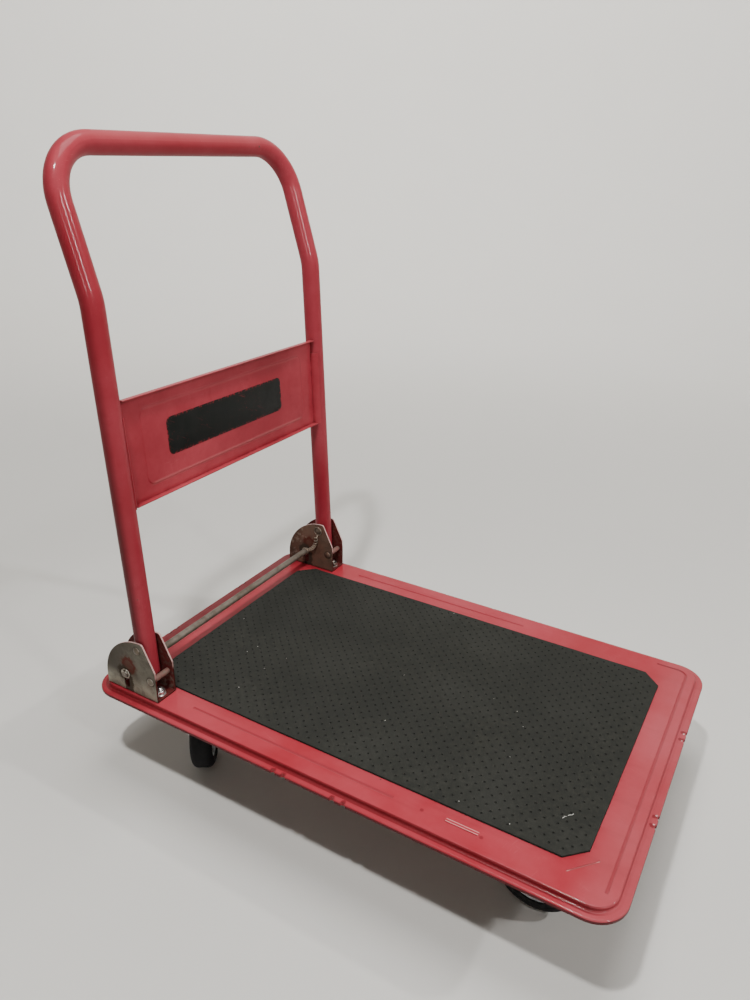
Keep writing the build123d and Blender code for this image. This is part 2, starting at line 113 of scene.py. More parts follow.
class TruckEnamel(bpy.types.PropertyGroup):
    """The coral red enamel on the deck, the handle and the channels."""

    coat: colour("Coat", "Colour of the deck's enamel where it is clean", (0.315, 0.014, 0.025))
    faded: colour("Faded", "Colour of the deck's enamel where it has chalked", (0.375, 0.041, 0.056))
    tube_coat: colour("Tube Coat", "Colour of the handle's enamel", (0.25, 0.016, 0.026))
    tube_faded: colour("Tube Faded", "Colour of the handle's chalked enamel", (0.31, 0.035, 0.049))
    # Painted shade: laid in the enamel's occluded corners, on the deck's outer flange and on the
    # handle's side turned from the lamps.
    shade: colour("Shade", "Colour of the grime held in its corners", (0.060, 0.004, 0.005))
    # Painted shade on the deck's step, in its dents and behind the release bar; also the colour of two
    # bruises.
    shade_and_bruise: colour("Step", "Colour of the grimy enamel along the deck's step", (0.125, 0.006, 0.009))
    streak: colour("Streaks", "Colour of the long darker streaks", (0.22, 0.010, 0.017))
    # Painted light: lifts the shading in the deck's creases.
    pressed: colour("Pressed", "Colour of the enamel in the deck's creases", (0.39, 0.050, 0.065))
    # Also the painted highlight on the bead's edges and the panel's pressed rim, the painted sheen and
    # hand wear on the grip's top, and the pale score.
    rubbed: colour("Rubbed", "Colour where the pressed marks are rubbed thin", (0.64, 0.25, 0.24))
    # Painted highlight: the glints just inside the front dents.
    painted_glint: colour("Bared", "Colour of the thin coat on the rims of the dents", (0.80, 0.52, 0.52))
    under: colour("Underside", "Colour of the thin dirty coat underneath", (0.075, 0.030, 0.026))
    primer: colour("Chips", "Colour of the steel and primer under chips", (0.10, 0.055, 0.045))
    scuff: colour("Scuffs", "Colour of the fine scratches", (0.50, 0.12, 0.13))
    dust: colour("Dust", "Colour of the dust that lies on it", (0.56, 0.42, 0.39))
    chalk: colour("Chalk", "Colour of the chalky film along the front edge", (0.62, 0.40, 0.40))
    pin: colour("Pin Coat", "Colour of the rubbed coat on the stop pins", (0.20, 0.075, 0.066))
    overspray: colour("Overspray", "Colour of the thin coat inside the brackets", (0.10, 0.012, 0.012))
    roughness: share("Roughness", "Roughness of the clean enamel", 0.46)
    peel: length("Orange Peel", "Depth of the sprayed surface's ripple", 0.035)


class TruckMat(bpy.types.PropertyGroup):
    """The dimpled rubber mat."""

    pitch_long: length("Pitch Lengthwise", "Distance between dimples along a row", 15.5)
    pitch_cross: length("Pitch Crosswise", "Distance between every second row", 15.05)
    shift_long: length("Shift Lengthwise", "Place of the pattern along the deck", 6.3)
    shift_cross: length("Shift Crosswise", "Place of the pattern across the deck", 2.8)
    dimple: length("Dimple", "Diameter of a dimple at the surface", 3.3)
    depth: length("Depth", "Depth of a dimple", 1.3)
    corner_cut: length("Corner Cut", "How far each corner is cut off", 23.0)
    edge: length("Edge", "Rounding of the cut edge", 0.7)
    rubber: colour("Rubber", "Colour of the rubber", (0.0165, 0.0170, 0.0140))
    worn: colour("Worn", "Colour of the rubber where feet and boxes rubbed it", (0.026, 0.026, 0.021))
    dust: colour("Dust", "Colour of the dust on all the rubber", (0.17, 0.165, 0.15))
    crumb: colour("Crumbs", "Colour of the crumbs stuck to the rubber", (0.42, 0.40, 0.36))
    # Painted shade with grime: near black in the dimples and corners of the mat and the tyres.
    grime: colour("Grime", "Colour of the rubber's corners and dimples", (0.006, 0.006, 0.006))
    fleck: colour("Flecks", "Colour of the chips of paint on it", (0.62, 0.60, 0.55))
    fleck_pale: colour("Pale Flecks", "Colour of the chips' cleaner parts", (0.75, 0.74, 0.70))


class TruckLabel(bpy.types.PropertyGroup):
    """The blank dark label on the handle's panel."""

    width: length("Width", "Length of the label across the handle", 237.0)
    height: length("Height", "Height of the label", 50.0)
    corner: length("Corner", "Radius of its corners", 8.0)
    centre_drop: length("Drop", "From the panel's top edge to the label's middle", 65.0)
    side_shift: length("Shift", "How far its middle lies to the right", 7.0)
    film: length("Film", "Thickness of the film", 0.12)
    ink: colour("Ink", "Colour of the label", (0.005, 0.0065, 0.0055))
    dulled: colour("Dulled", "Colour of the label where it has dulled", (0.009, 0.010, 0.009))


class TruckSteel(bpy.types.PropertyGroup):
    """Plated and bare steel, and the fasteners."""

    plating: colour("Plating", "Colour of the dulled zinc plating", (0.30, 0.285, 0.225))
    stain: colour("Stain", "Colour of the tarnish on it", (0.13, 0.105, 0.078))
    # Also the painted shadow over the right bracket's upper part.
    tarnish: colour("Tarnish", "Colour of the upper part's dark tarnish", (0.048, 0.038, 0.029))
    tan: colour("Tan", "Colour of the paler spots between the brown", (0.30, 0.22, 0.165))
    dome: colour("Rivet Heads", "Colour of the rivets' dull heads", (0.34, 0.32, 0.26))
    brown: colour("Browned", "Colour of the plating where it has browned", (0.155, 0.078, 0.055))
    reddish: colour("Reddish", "Colour of the stain over the bar's end", (0.085, 0.019, 0.012))
    grimy: colour("Grimy", "Colour of the run under the bar's end", (0.036, 0.025, 0.017))
    edge: colour("Cut Edge", "Colour of the rubbed cut edges", (0.62, 0.40, 0.37))
    rust: colour("Rust", "Colour of fresh rust", (0.16, 0.062, 0.030))
    old_rust: colour("Old Rust", "Colour of old rust", (0.045, 0.022, 0.015))
    bar: colour("Bar", "Colour of the galvanised release bar", (0.20, 0.168, 0.138))
    bronze: colour("Spring Steel", "Colour of the browned spring wire", (0.44, 0.34, 0.26))
    bright: colour("Bright", "Colour of the bright zinc fasteners", (0.72, 0.72, 0.70))
    sheet: length("Bracket Sheet", "Thickness of the hinge brackets' sheet", 2.2)
    rivet_head: length("Rivet Head Height", "Height of the rivets' domed heads", 2.0)
    bolt_flats: length("Bolt Flats", "Across the flats of the bracket bolts", 13.0)
    bolt_height: length("Bolt Head", "Height of the bracket bolts' heads", 5.3)
    bolt_shank: length("Bolt Shank", "Diameter of the bracket bolts", 8.0)
    bolt_washer: length("Bolt Washer", "Thickness of the washers under the bracket bolts", 1.4)
    bolt_end: length("Bolt End", "Height of the bracket bolts' threaded ends", 10.5)


class TruckSpring(bpy.types.PropertyGroup):
    """The coil springs that hold the release bar."""

    wire: length("Wire", "Diameter of the wire", 1.6)
    coil: length("Coil", "Outer diameter of the coil", 7.0)
    gap: length("Gap", "Space between the ear and the coil", 0.3)
    pitch: length("Pitch", "Advance of one turn", 4.8)
    sag: length("Sag", "How far the slack coil bows forward", 6.8)
    droop: length("Droop", "How far the bow's deepest point lies towards the bar", 3.0)
    eye_start: FloatProperty(
        name="Eye Start", description="Where the wire meets the bar, turned up from the front",
        default=radians(40.0), subtype="ANGLE", unit="ROTATION",
    )


class TruckCasters(bpy.types.PropertyGroup):
    """Wheels, forks and their fasteners."""

    tyre: colour("Tyre", "Colour of the tyres", (0.012, 0.012, 0.013))
    tyre_worn: colour("Worn Tyre", "Colour of the tyres where they are rubbed", (0.035, 0.034, 0.033))
    hub: colour("Hub", "Colour of the moulded wheel centres", (0.55, 0.57, 0.60))
    hub_grime: colour("Hub Grime", "Colour of the dirt in their corners", (0.07, 0.062, 0.052))
    hub_scuff: colour("Hub Scuffs", "Colour of the scratches on them", (0.20, 0.19, 0.18))
    plating: colour("Plating", "Colour of the casters' bright plating", (0.55, 0.55, 0.53))
    tyre_width: length("Tyre Width", "Width of a tyre", 30.0)
    tyre_height: length("Tyre Height", "From a tyre's seat to its tread", 14.0)
    shoulder: length("Shoulder", "Radius of a tyre's shoulders", 9.0)
    rim: length("Rim", "Radius of a wheel centre", 36.0)
    rim_inner: length("Rim Inside", "Radius of the hollow inside its rim", 30.0)
    web: length("Web", "Half the thickness of its web", 3.5)
    bore: length("Bore", "Radius of its bore", 4.06)
    boss: length("Boss", "Radius of its boss", 12.0)
    boss_reach: length("Boss Reach", "Half the length of its boss", 17.0)
    ribs: IntProperty(name="Ribs", description="Ribs on each side of a wheel", default=8, min=3)
    cheek_reach: length("Fork Cheeks", "From a wheel's middle to the outside of its fork", 20.5)
    axle: length("Axle", "Radius of an axle bolt", 3.95)
    axle_flats: length("Axle Flats", "Across the flats of an axle bolt", 11.223)
    bolt_flats: length("Bolt Flats", "Across the flats of the plate bolts", 10.0)
    bolts_lengthwise: length("Bolts Lengthwise", "Between plate bolts along the deck", 76.0)
    bolts_crosswise: length("Bolts Crosswise", "Between plate bolts across the deck", 48.0)


class TruckStage(bpy.types.PropertyGroup):
    """Floor, lamps and camera."""

    camera: FloatVectorProperty(
        name="Camera", description="Place of the camera", size=3, subtype="TRANSLATION",
        unit="LENGTH", default=(0.4105, -0.8001, 0.8093), precision=4,
    )
    turn: FloatVectorProperty(
        name="Turn", description="Rotation of the camera", size=3, subtype="EULER", unit="ROTATION",
        default=(radians(66.0355), radians(-0.8816), radians(30.4966)),
    )
    lens: FloatProperty(
        name="Lens", description="Focal length in millimetres", default=28.035, min=1.0
    )
    floor: colour("Floor", "Colour of the floor", (0.64, 0.622, 0.585))
    floor_reach: length("Floor Reach", "Radius of the flat part of the floor", 3200.0)
    floor_sweep: length("Floor Sweep", "Radius of the sweep from the floor up to the wall", 1600.0)
    wall_top: length("Wall Top", "Height of the wall", 4000.0)
    backdrop: colour("Surround", "Colour of the light that comes from all round", (0.80, 0.80, 0.79))
    surround: FloatProperty(
        name="Surround Strength", description="Strength of the light from all round", default=0.05,
        min=0.0,
    )


SETTINGS = {
    "truck_enamel": TruckEnamel,
    "truck_mat": TruckMat,
    "truck_label": TruckLabel,
    "truck_steel": TruckSteel,
    "truck_spring": TruckSpring,
    "truck_casters": TruckCasters,
    "truck_stage": TruckStage,
}


# ------------------------------------------------------------------ node helpers


def add_node(tree, kind, inputs=None, **settings):
    """Add a shader node, set it up, and feed its inputs from values or other sockets."""
    node = tree.nodes.new("ShaderNode" + kind)
    for key, value in settings.items():
        setattr(node, key, value)
    for key, value in (inputs or {}).items():
        socket = node.inputs[key]
        if isinstance(value, bpy.types.NodeSocket):
            tree.links.new(value, socket)
        else:
            socket.default_value = value
    return node


def calc(tree, operation, *values, clamp=False):
    """One sum on values or sockets."""
    node = add_node(tree, "Math", dict(enumerate(values)), operation=operation, use_clamp=clamp)
    return node.outputs[0]


def span(tree, value, low, high, to_low=0.0, to_high=1.0, smooth=True):
    """Map a value from one range onto another, held at its ends."""
    node = add_node(
        tree, "MapRange",
        {"Value": value, "From Min": low, "From Max": high, "To Min": to_low, "To Max": to_high},
        interpolation_type="SMOOTHSTEP" if smooth else "LINEAR",
    )
    return node.outputs["Result"]


def diagonal(tree, a, b):
    """The straight distance that two offsets at right angles make."""
    return calc(tree, "SQRT", calc(tree, "MULTIPLY_ADD", a, a, calc(tree, "MULTIPLY", b, b)))


def distance_to(tree, coords, spot):
    """Distance from a spot."""
    node = add_node(tree, "VectorMath", {0: coords, 1: spot}, operation="DISTANCE")
    return node.outputs["Value"]


def over(tree, factor, under, top):
    """A colour laid over another by a mask."""
    node = add_node(tree, "Mix", {0: factor, 6: under, 7: top}, data_type="RGBA")
    return node.outputs[2]


def grain(tree, coords, scale, detail=2.0, roughness=0.5, stretch=None, distortion=0.0):
    """Noise over the surface, drawn out along an axis if asked."""
    if stretch:
        coords = add_node(tree, "Mapping", {"Vector": coords, "Scale": stretch}).outputs[0]
    node = add_node(
        tree, "TexNoise",
        {
            "Vector": coords, "Scale": scale, "Detail": detail, "Roughness": roughness,
            "Distortion": distortion,
        },
    )
    return node.outputs["Fac"]


def rgba(rgb):
    """A colour with full alpha."""
    return (*rgb, 1.0)


GROUP_SOCKETS = {"f": "NodeSocketFloat", "c": "NodeSocketColor", "v": "NodeSocketVector"}


def build_group(name, inputs, outputs, fill):
    """Make one shader group: inputs are {name: default}, outputs {name: kind of socket}."""
    tree = bpy.data.node_groups.new(name, "ShaderNodeTree")
    for key, default in inputs.items():
        kind = "f" if isinstance(default, float) else "c" if len(default) == 4 else "v"
        socket = tree.interface.new_socket(
            name=key, in_out="INPUT", socket_type=GROUP_SOCKETS[kind]
        )
        socket.default_value = default
    for key, kind in outputs.items():
        tree.interface.new_socket(name=key, in_out="OUTPUT", socket_type=GROUP_SOCKETS[kind])
    made = fill(tree, tree.nodes.new("NodeGroupInput").outputs)
    ends = tree.nodes.new("NodeGroupOutput")
    for key, socket in made.items():
        tree.links.new(socket, ends.inputs[key])
    return tree


def place_group(tree, name, **values):
    """Put a shader group into a material with its own values."""
    node = tree.nodes.new("ShaderNodeGroup")
    node.node_tree = bpy.data.node_groups[name]
    for key, value in values.items():
        socket = node.inputs[key.replace("_", " ").title()]
        if isinstance(value, bpy.types.NodeSocket):
            tree.links.new(value, socket)
        else:
            socket.default_value = value
    return node.outputs


def body_coords(tree):
    """Coordinates that stay with the piece when it moves."""
    return add_node(tree, "TexCoord").outputs["Object"]


def body_facing(tree):
    """The X, Y and Z of the direction that the surface faces, which stays with the piece too."""
    return parts(tree, add_node(tree, "TexCoord").outputs["Normal"])


def parts(tree, vector):
    """The X, Y and Z of a vector."""
    return add_node(tree, "SeparateXYZ", {0: vector}).outputs


# ------------------------------------------------------------------ shared effects


def fill_edge_rub(tree, given):
    """Mask of the edges that rub bare: where the true and the rounded normal part."""
    soft = add_node(tree, "Bevel", {"Radius": given["Radius"]}, samples=4).outputs[0]
    true = add_node(tree, "NewGeometry").outputs["Normal"]
    same = add_node(tree, "VectorMath", {0: soft, 1: true}, operation="DOT_PRODUCT").outputs["Value"]
    bare = span(tree, same, 0.995, 0.80)
    broken = grain(tree, body_coords(tree), given["Scale"], 3.0, 0.65)
    edge = calc(tree, "MULTIPLY", bare, span(tree, broken, 0.42, 0.62))
    return {"Mask": calc(tree, "MULTIPLY", edge, given["Amount"], clamp=True)}


def fill_crevice(tree, given):
    """Mask of the occluded corners: painted shade in the enamel and the mat, grime and rust in the
    other finishes.
    """
    open_share = add_node(
        tree, "AmbientOcclusion", {"Distance": given["Reach"]}, samples=6
    ).outputs["AO"]
    patchy = grain(tree, body_coords(tree), 90.0, 3.0, 0.6)
    held = calc(tree, "MULTIPLY", span(tree, open_share, 0.85, 0.25), span(tree, patchy, 0.2, 0.7))
    return {"Mask": calc(tree, "MULTIPLY", held, given["Amount"], clamp=True)}


def fill_dust(tree, given):
    """Mask of the dust that settles on faces turned upward."""
    upward = span(tree, body_facing(tree)["Z"], 0.2, 0.95)
    clouds = span(tree, grain(tree, body_coords(tree), given["Scale"], 4.0, 0.6), 0.30, 0.75)
    film = calc(tree, "MULTIPLY_ADD", clouds, 0.8, 0.2)
    return {"Mask": calc(tree, "MULTIPLY", calc(tree, "MULTIPLY", film, upward), given["Amount"])}


def fill_scratches(tree, given):
    """Mask of thin scratches in two directions."""
    coords = body_coords(tree)
    turned_coords = add_node(
        tree, "Mapping", {"Vector": coords, "Rotation": given["Turn"]}
    ).outputs[0]
    masks = []
    for stretch in ((1.0, 26.0, 26.0), (30.0, 1.6, 30.0)):
        lines = grain(tree, turned_coords, given["Scale"], 2.0, 0.6, stretch, 0.4)
        masks.append(span(tree, lines, 0.655, 0.70))
    where = span(tree, grain(tree, coords, 14.0, 2.0), 0.46, 0.66)
    both = calc(tree, "MULTIPLY", calc(tree, "MAXIMUM", *masks), where)
    return {"Mask": calc(tree, "MULTIPLY", both, given["Amount"], clamp=True)}


def fill_specks(tree, given):
    """Mask of small round specks strewn over the surface."""
    cells = add_node(
        tree, "TexVoronoi", {"Vector": body_coords(tree), "Scale": given["Scale"]}
    ).outputs
    chosen = calc(
        tree, "LESS_THAN",
        add_node(tree, "SeparateColor", {0: cells["Color"]}).outputs[0], given["Share"],
    )
    size = calc(
        tree, "MULTIPLY", given["Size"],
        add_node(tree, "SeparateColor", {0: cells["Color"]}).outputs[1],
    )
    dot = calc(tree, "LESS_THAN", cells["Distance"], size)
    return {"Mask": calc(tree, "MULTIPLY", dot, chosen)}


def fill_rust(tree, given):
    """Mask, colour and height of rust patches."""
    coords = add_node(
        tree, "VectorMath", {0: body_coords(tree), 1: given["Offset"]}, operation="ADD"
    ).outputs[0]
    patches = grain(tree, coords, given["Scale"], 6.0, 0.68, distortion=0.6)
    crust = grain(tree, coords, 900.0, 3.0, 0.7)
    ragged = calc(tree, "MULTIPLY_ADD", crust, 0.12, patches)
    low = calc(tree, "SUBTRACT", 0.86, given["Cover"])
    mask = span(tree, calc(tree, "SUBTRACT", ragged, low), 0.0, 0.07)
    tone = span(tree, crust, 0.35, 0.65)
    return {
        "Mask": mask,
        "Colour": over(tree, tone, given["Old"], given["Fresh"]),
        "Height": calc(tree, "MULTIPLY", mask, crust),
    }


def fill_peel(tree, given):
    """Height of a sprayed or moulded surface's fine ripple."""
    coords = body_coords(tree)
    wide = grain(tree, coords, given["Scale"], 1.0)
    fine = grain(tree, coords, calc(tree, "MULTIPLY", given["Scale"], 3.7), 2.0, 0.6)
    return {"Height": calc(tree, "MULTIPLY_ADD", fine, given["Fine"], wide)}


def build_shared_effects():
    """Build every shared effect once, with its usual values."""
    build_group(
        "Edge Rub", {"Radius": 0.001, "Scale": 60.0, "Amount": 1.0}, {"Mask": "f"}, fill_edge_rub
    )
    build_group("Crevice Grime And Shade", {"Reach": 0.01, "Amount": 1.0}, {"Mask": "f"}, fill_crevice)
    build_group("Settled Dust", {"Scale": 12.0, "Amount": 0.3}, {"Mask": "f"}, fill_dust)
    build_group(
        "Fine Scratches", {"Scale": 40.0, "Turn": (0.0, 0.0, 0.0), "Amount": 1.0}, {"Mask": "f"},
        fill_scratches,
    )
    build_group(
        "Specks", {"Scale": 120.0, "Share": 0.05, "Size": 0.2}, {"Mask": "f"}, fill_specks
    )
    build_group(
        "Rust Bloom",
        {
            "Scale": 30.0, "Cover": 0.3, "Offset": (0.0, 0.0, 0.0),
            "Old": (0.05, 0.02, 0.01, 1.0), "Fresh": (0.2, 0.07, 0.03, 1.0),
        },
        {"Mask": "f", "Colour": "c", "Height": "f"},
        fill_rust,
    )
    build_group("Surface Peel", {"Scale": 500.0, "Fine": 0.4}, {"Height": "f"}, fill_peel)


# ------------------------------------------------------------------ materials


class Finish:
    """A material being mixed: its node tree, its shader and what it is told so far."""

    def __init__(self, name):
        self.material = bpy.data.materials.new(name)
        self.material.use_nodes = True
        self.tree = self.material.node_tree
        self.shader = self.tree.nodes["Principled BSDF"]

    def done(self, base, rough, height=None, depth=0.0001, metallic=None, fixed=None):
        """Wire the shader. Fixed values go on the shader's own sockets."""
        for key, value in (("Base Color", base), ("Roughness", rough), ("Metallic", metallic)):
            if isinstance(value, bpy.types.NodeSocket):
                self.tree.links.new(value, self.shader.inputs[key])
            elif value is not None:
                self.shader.inputs[key].default_value = value
        if height is not None:
            bump = add_node(self.tree, "Bump", {"Height": height, "Distance": depth})
            self.tree.links.new(bump.outputs[0], self.shader.inputs["Normal"])
        for key, value in (fixed or {}).items():
            self.shader.inputs[key].default_value = value
        return self.material


def inset_from_edge(tree, at, high):
    """How far in from the deck's outer edge, round its corners too."""
    beyond = []
    for axis, half in (("X", high.x), ("Y", high.y)):
        past = calc(tree, "SUBTRACT", calc(tree, "ABSOLUTE", at[axis]), half - DECK_CORNER)
        beyond.append(calc(tree, "MAXIMUM", past, 0.0))
    return calc(tree, "SUBTRACT", DECK_CORNER, diagonal(tree, *beyond))


def deck_shade_and_wear(tree, at, facing, base):
    """Painted shade at the foot of the deck's step, on its flange and in its dents, a painted shadow
    behind the bar, painted light in its creases, a chalky film along the front, two bruises, and marks
    pressed in it drawn pale: painted highlights on the bead's edges and a pale score.
    """
    look = bpy.context.scene.truck_enamel
    low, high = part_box("deck_pan")
    plate_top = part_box("deck_mat")[0].z
    inset_by = inset_from_edge(tree, at, high)
    chalked = span(tree, at["X"], high.x - 70.0 * MM, high.x - 30.0 * MM, 0.0, 0.07)
    base = over(tree, chalked, base, rgba(look.chalk))
    # Painted shade on the step's wall, less of it along the front.
    below = span(tree, at["Z"], plate_top - 0.05 * MM, plate_top - 0.4 * MM)
    wall = calc(tree, "MULTIPLY", below, span(tree, inset_by, DECK_LIP * 0.52, DECK_LIP * 0.66))
    front = span(tree, at["X"], high.x - DECK_CORNER, high.x - DECK_LIP)
    wall = calc(tree, "MULTIPLY", wall, calc(tree, "MULTIPLY_ADD", front, -0.86, 1.0))
    base = over(tree, calc(tree, "MULTIPLY", wall, 0.76), base, rgba(look.shade_and_bruise))
    # Painted light: the creases are drawn paler so their shading reads fainter, more away from the
    # front.
    crease = calc(
        tree, "MULTIPLY", span(tree, at["Z"], plate_top - 0.05 * MM, plate_top - 0.25 * MM),
        span(tree, inset_by, DECK_LIP + 8.0 * MM, DECK_LIP + 10.0 * MM),
    )
    filled = span(tree, at["X"], high.x - 90.0 * MM, high.x - 60.0 * MM, 0.50, 0.10)
    base = over(tree, calc(tree, "MULTIPLY", crease, filled), base, rgba(look.pressed))
    # Painted shadow on the rear strip behind the release bar.
    bar_shadow = span(tree, at["X"], low.x + 26.0 * MM, low.x + 16.0 * MM, 0.0, 0.28)
    base = over(tree, bar_shadow, base, rgba(look.shade_and_bruise))
    # Painted shade: the outer flange darkened nearly to the shadow under it.
    flange = calc(
        tree, "MULTIPLY", span(tree, inset_by, 1.2 * MM, 0.5 * MM), span(tree, facing["Z"], 0.5, 0.2)
    )
    base = over(tree, calc(tree, "MULTIPLY", flange, 0.9), base, rgba(look.shade))
    base = bead_highlight_and_score(tree, at, base, high)
    base = dent_shade_and_glints(tree, at, facing, base, high)
    # Two small bruises beside the bead.
    for x, y in ((133.0 * MM, -206.0 * MM), (205.0 * MM, -207.0 * MM)):
        off = distance_to(tree, body_coords(tree), (x, y, plate_top))
        bruise = calc(tree, "MULTIPLY", span(tree, off, 3.2 * MM, 1.4 * MM), 0.55)
        base = over(tree, bruise, base, rgba(look.shade_and_bruise))
    return base


def bead_highlight_and_score(tree, at, base, high):
    """Painted highlights on the two edges of the deck's short bead, and its slanting score drawn pale,
    palest towards its ends.
    """
    look = bpy.context.scene.truck_enamel
    bead = (high.x - BEAD_SETBACK, DECK_LIP + BEAD_INSET - high.y)
    across = calc(tree, "ABSOLUTE", calc(tree, "SUBTRACT", at["Y"], bead[1]))
    off_edge = calc(tree, "ABSOLUTE", calc(tree, "SUBTRACT", across, BEAD_HALF_WIDTH))
    along = calc(tree, "ABSOLUTE", calc(tree, "SUBTRACT", at["X"], bead[0]))
    edges = calc(
        tree, "MULTIPLY", span(tree, off_edge, 0.75 * MM, 0.35 * MM),
        span(tree, along, BEAD_HALF_LENGTH, BEAD_HALF_LENGTH - 2.0 * MM),
    )
    score = (high.x - SCORE_SETBACK, DECK_LIP + SCORE_INSET - high.y)
    x, y = [calc(tree, "SUBTRACT", at[axis], c) for axis, c in zip("XY", score)]
    ahead, aside = cos(SCORE_TURN), sin(SCORE_TURN)
    off_line = calc(
        tree, "ABSOLUTE", calc(tree, "MULTIPLY_ADD", x, -aside, calc(tree, "MULTIPLY", y, ahead))
    )
    on_line = calc(
        tree, "ABSOLUTE", calc(tree, "MULTIPLY_ADD", x, ahead, calc(tree, "MULTIPLY", y, aside))
    )
    line = calc(
        tree, "MULTIPLY", span(tree, off_line, 0.85 * MM, 0.30 * MM),
        span(tree, on_line, SCORE_HALF_LENGTH, SCORE_HALF_LENGTH - 1.5 * MM),
    )
    ends = span(tree, on_line, 13.0 * MM, 19.0 * MM, 0.22, 0.75)
    # Painted highlight along the bead's edges; the score is drawn pale.
    pale = calc(tree, "MAXIMUM", edges, calc(tree, "MULTIPLY", line, ends))
    return over(tree, calc(tree, "MULTIPLY", pale, 0.9), base, rgba(look.rubbed))


def dent_shade_and_glints(tree, at, facing, base, high):
    """Painted shade in the dents in the rim, and a painted highlight on the inner rim of the front
    ones.
    """
    look = bpy.context.scene.truck_enamel
    # The dents lie the same way in all four quarters, so one quarter is drawn.
    quarter = add_node(tree, "CombineXYZ", {
        0: calc(tree, "ABSOLUTE", at["X"]), 1: calc(tree, "ABSOLUTE", at["Y"]),
    }).outputs[0]
    upward = span(tree, facing["Z"], -0.1, 0.2)
    in_front = span(tree, at["X"], 0.0, 50.0 * MM)
    broken = span(tree, grain(tree, body_coords(tree), 330.0, 4.0, 0.65), 0.30, 0.70, 0.0, 1.6 * MM)
    # Painted shade in the dents, on faces turned up; painted glints just inside the front dents.
    dark = (4.8 * MM, look.shade_and_bruise, 0.70, upward)
    bright = (2.5 * MM, look.painted_glint, 0.85, in_front)
    marks = [(high.x - 4.6 * MM, y, dark) for y in END_DENTS]
    marks += [(x, high.y - 2.2 * MM, dark) for x in SIDE_DENTS]
    marks += [(high.x - 3.4 * MM, y - 2.2 * MM, bright) for y in END_DENTS]
    for x, y, (reach, tone, amount, where) in marks:
        off = calc(tree, "ADD", distance_to(tree, quarter, (x, y, 0.0)), broken)
        mark = span(tree, off, reach, reach - 1.4 * MM, 0.0, amount)
        base = over(tree, calc(tree, "MULTIPLY", mark, where), base, rgba(tone))
    return base


def tube_shade_and_wear(tree, at, facing, base):
    """Painted shade on the right upright's outer side, deeper low down, and a grip drawn paler on top:
    painted sheen and hand wear.
    """
    look = bpy.context.scene.truck_enamel
    # Painted shade on the side turned from the lamps.
    shaded_side = calc(
        tree, "MULTIPLY_ADD", facing["X"], -0.65, calc(tree, "MULTIPLY", facing["Y"], -0.76)
    )
    low_down = span(tree, at["Z"], 700.0 * MM, 300.0 * MM, 0.30, 0.82)  # heights over the floor
    upright = span(tree, at["Y"], -150.0 * MM, -185.0 * MM)
    held = calc(tree, "MULTIPLY", span(tree, shaded_side, 0.05, 0.80), low_down)
    base = over(tree, calc(tree, "MULTIPLY", held, upright), base, rgba(look.shade))
    # Paler on the grip's top: painted sheen and hand wear.
    top_sheen_and_wear = calc(
        tree, "MULTIPLY", span(tree, facing["Z"], -0.30, 0.95),
        span(tree, at["Z"], 780.0 * MM, 810.0 * MM, 0.0, 0.15),
    )
    straight = span(tree, calc(tree, "ABSOLUTE", at["Y"]), 190.0 * MM, 120.0 * MM)
    return over(tree, calc(tree, "MULTIPLY", top_sheen_and_wear, straight), base, rgba(look.rubbed))


def panel_rim_highlight(tree, at, _facing, base):
    """A painted highlight along the rim of the panel's pressed field, brightest along its foot."""
    look = bpy.context.scene.truck_enamel
    low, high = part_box("handle_panel")
    half_width, half_height = high.y - FIELD_END, (high.z - low.z) / 2 - FIELD_BORDER
    above = calc(tree, "SUBTRACT", at["Z"], (low.z + high.z) / 2)
    border = calc(tree, "SUBTRACT", calc(tree, "ABSOLUTE", above), half_height - 1.6 * MM)
    rim = span(tree, calc(tree, "ABSOLUTE", border), 3.8 * MM, 0.4 * MM)
    foot = span(tree, above, -35.0 * MM, -45.0 * MM, 0.07, 0.22)
    sideways = calc(tree, "ABSOLUTE", at["Y"])
    ends = span(tree, sideways, half_width - 2.0 * MM, half_width - 14.0 * MM)
    rim = calc(tree, "MULTIPLY", calc(tree, "MULTIPLY", rim, foot), ends)
    return over(tree, rim, base, rgba(look.rubbed))


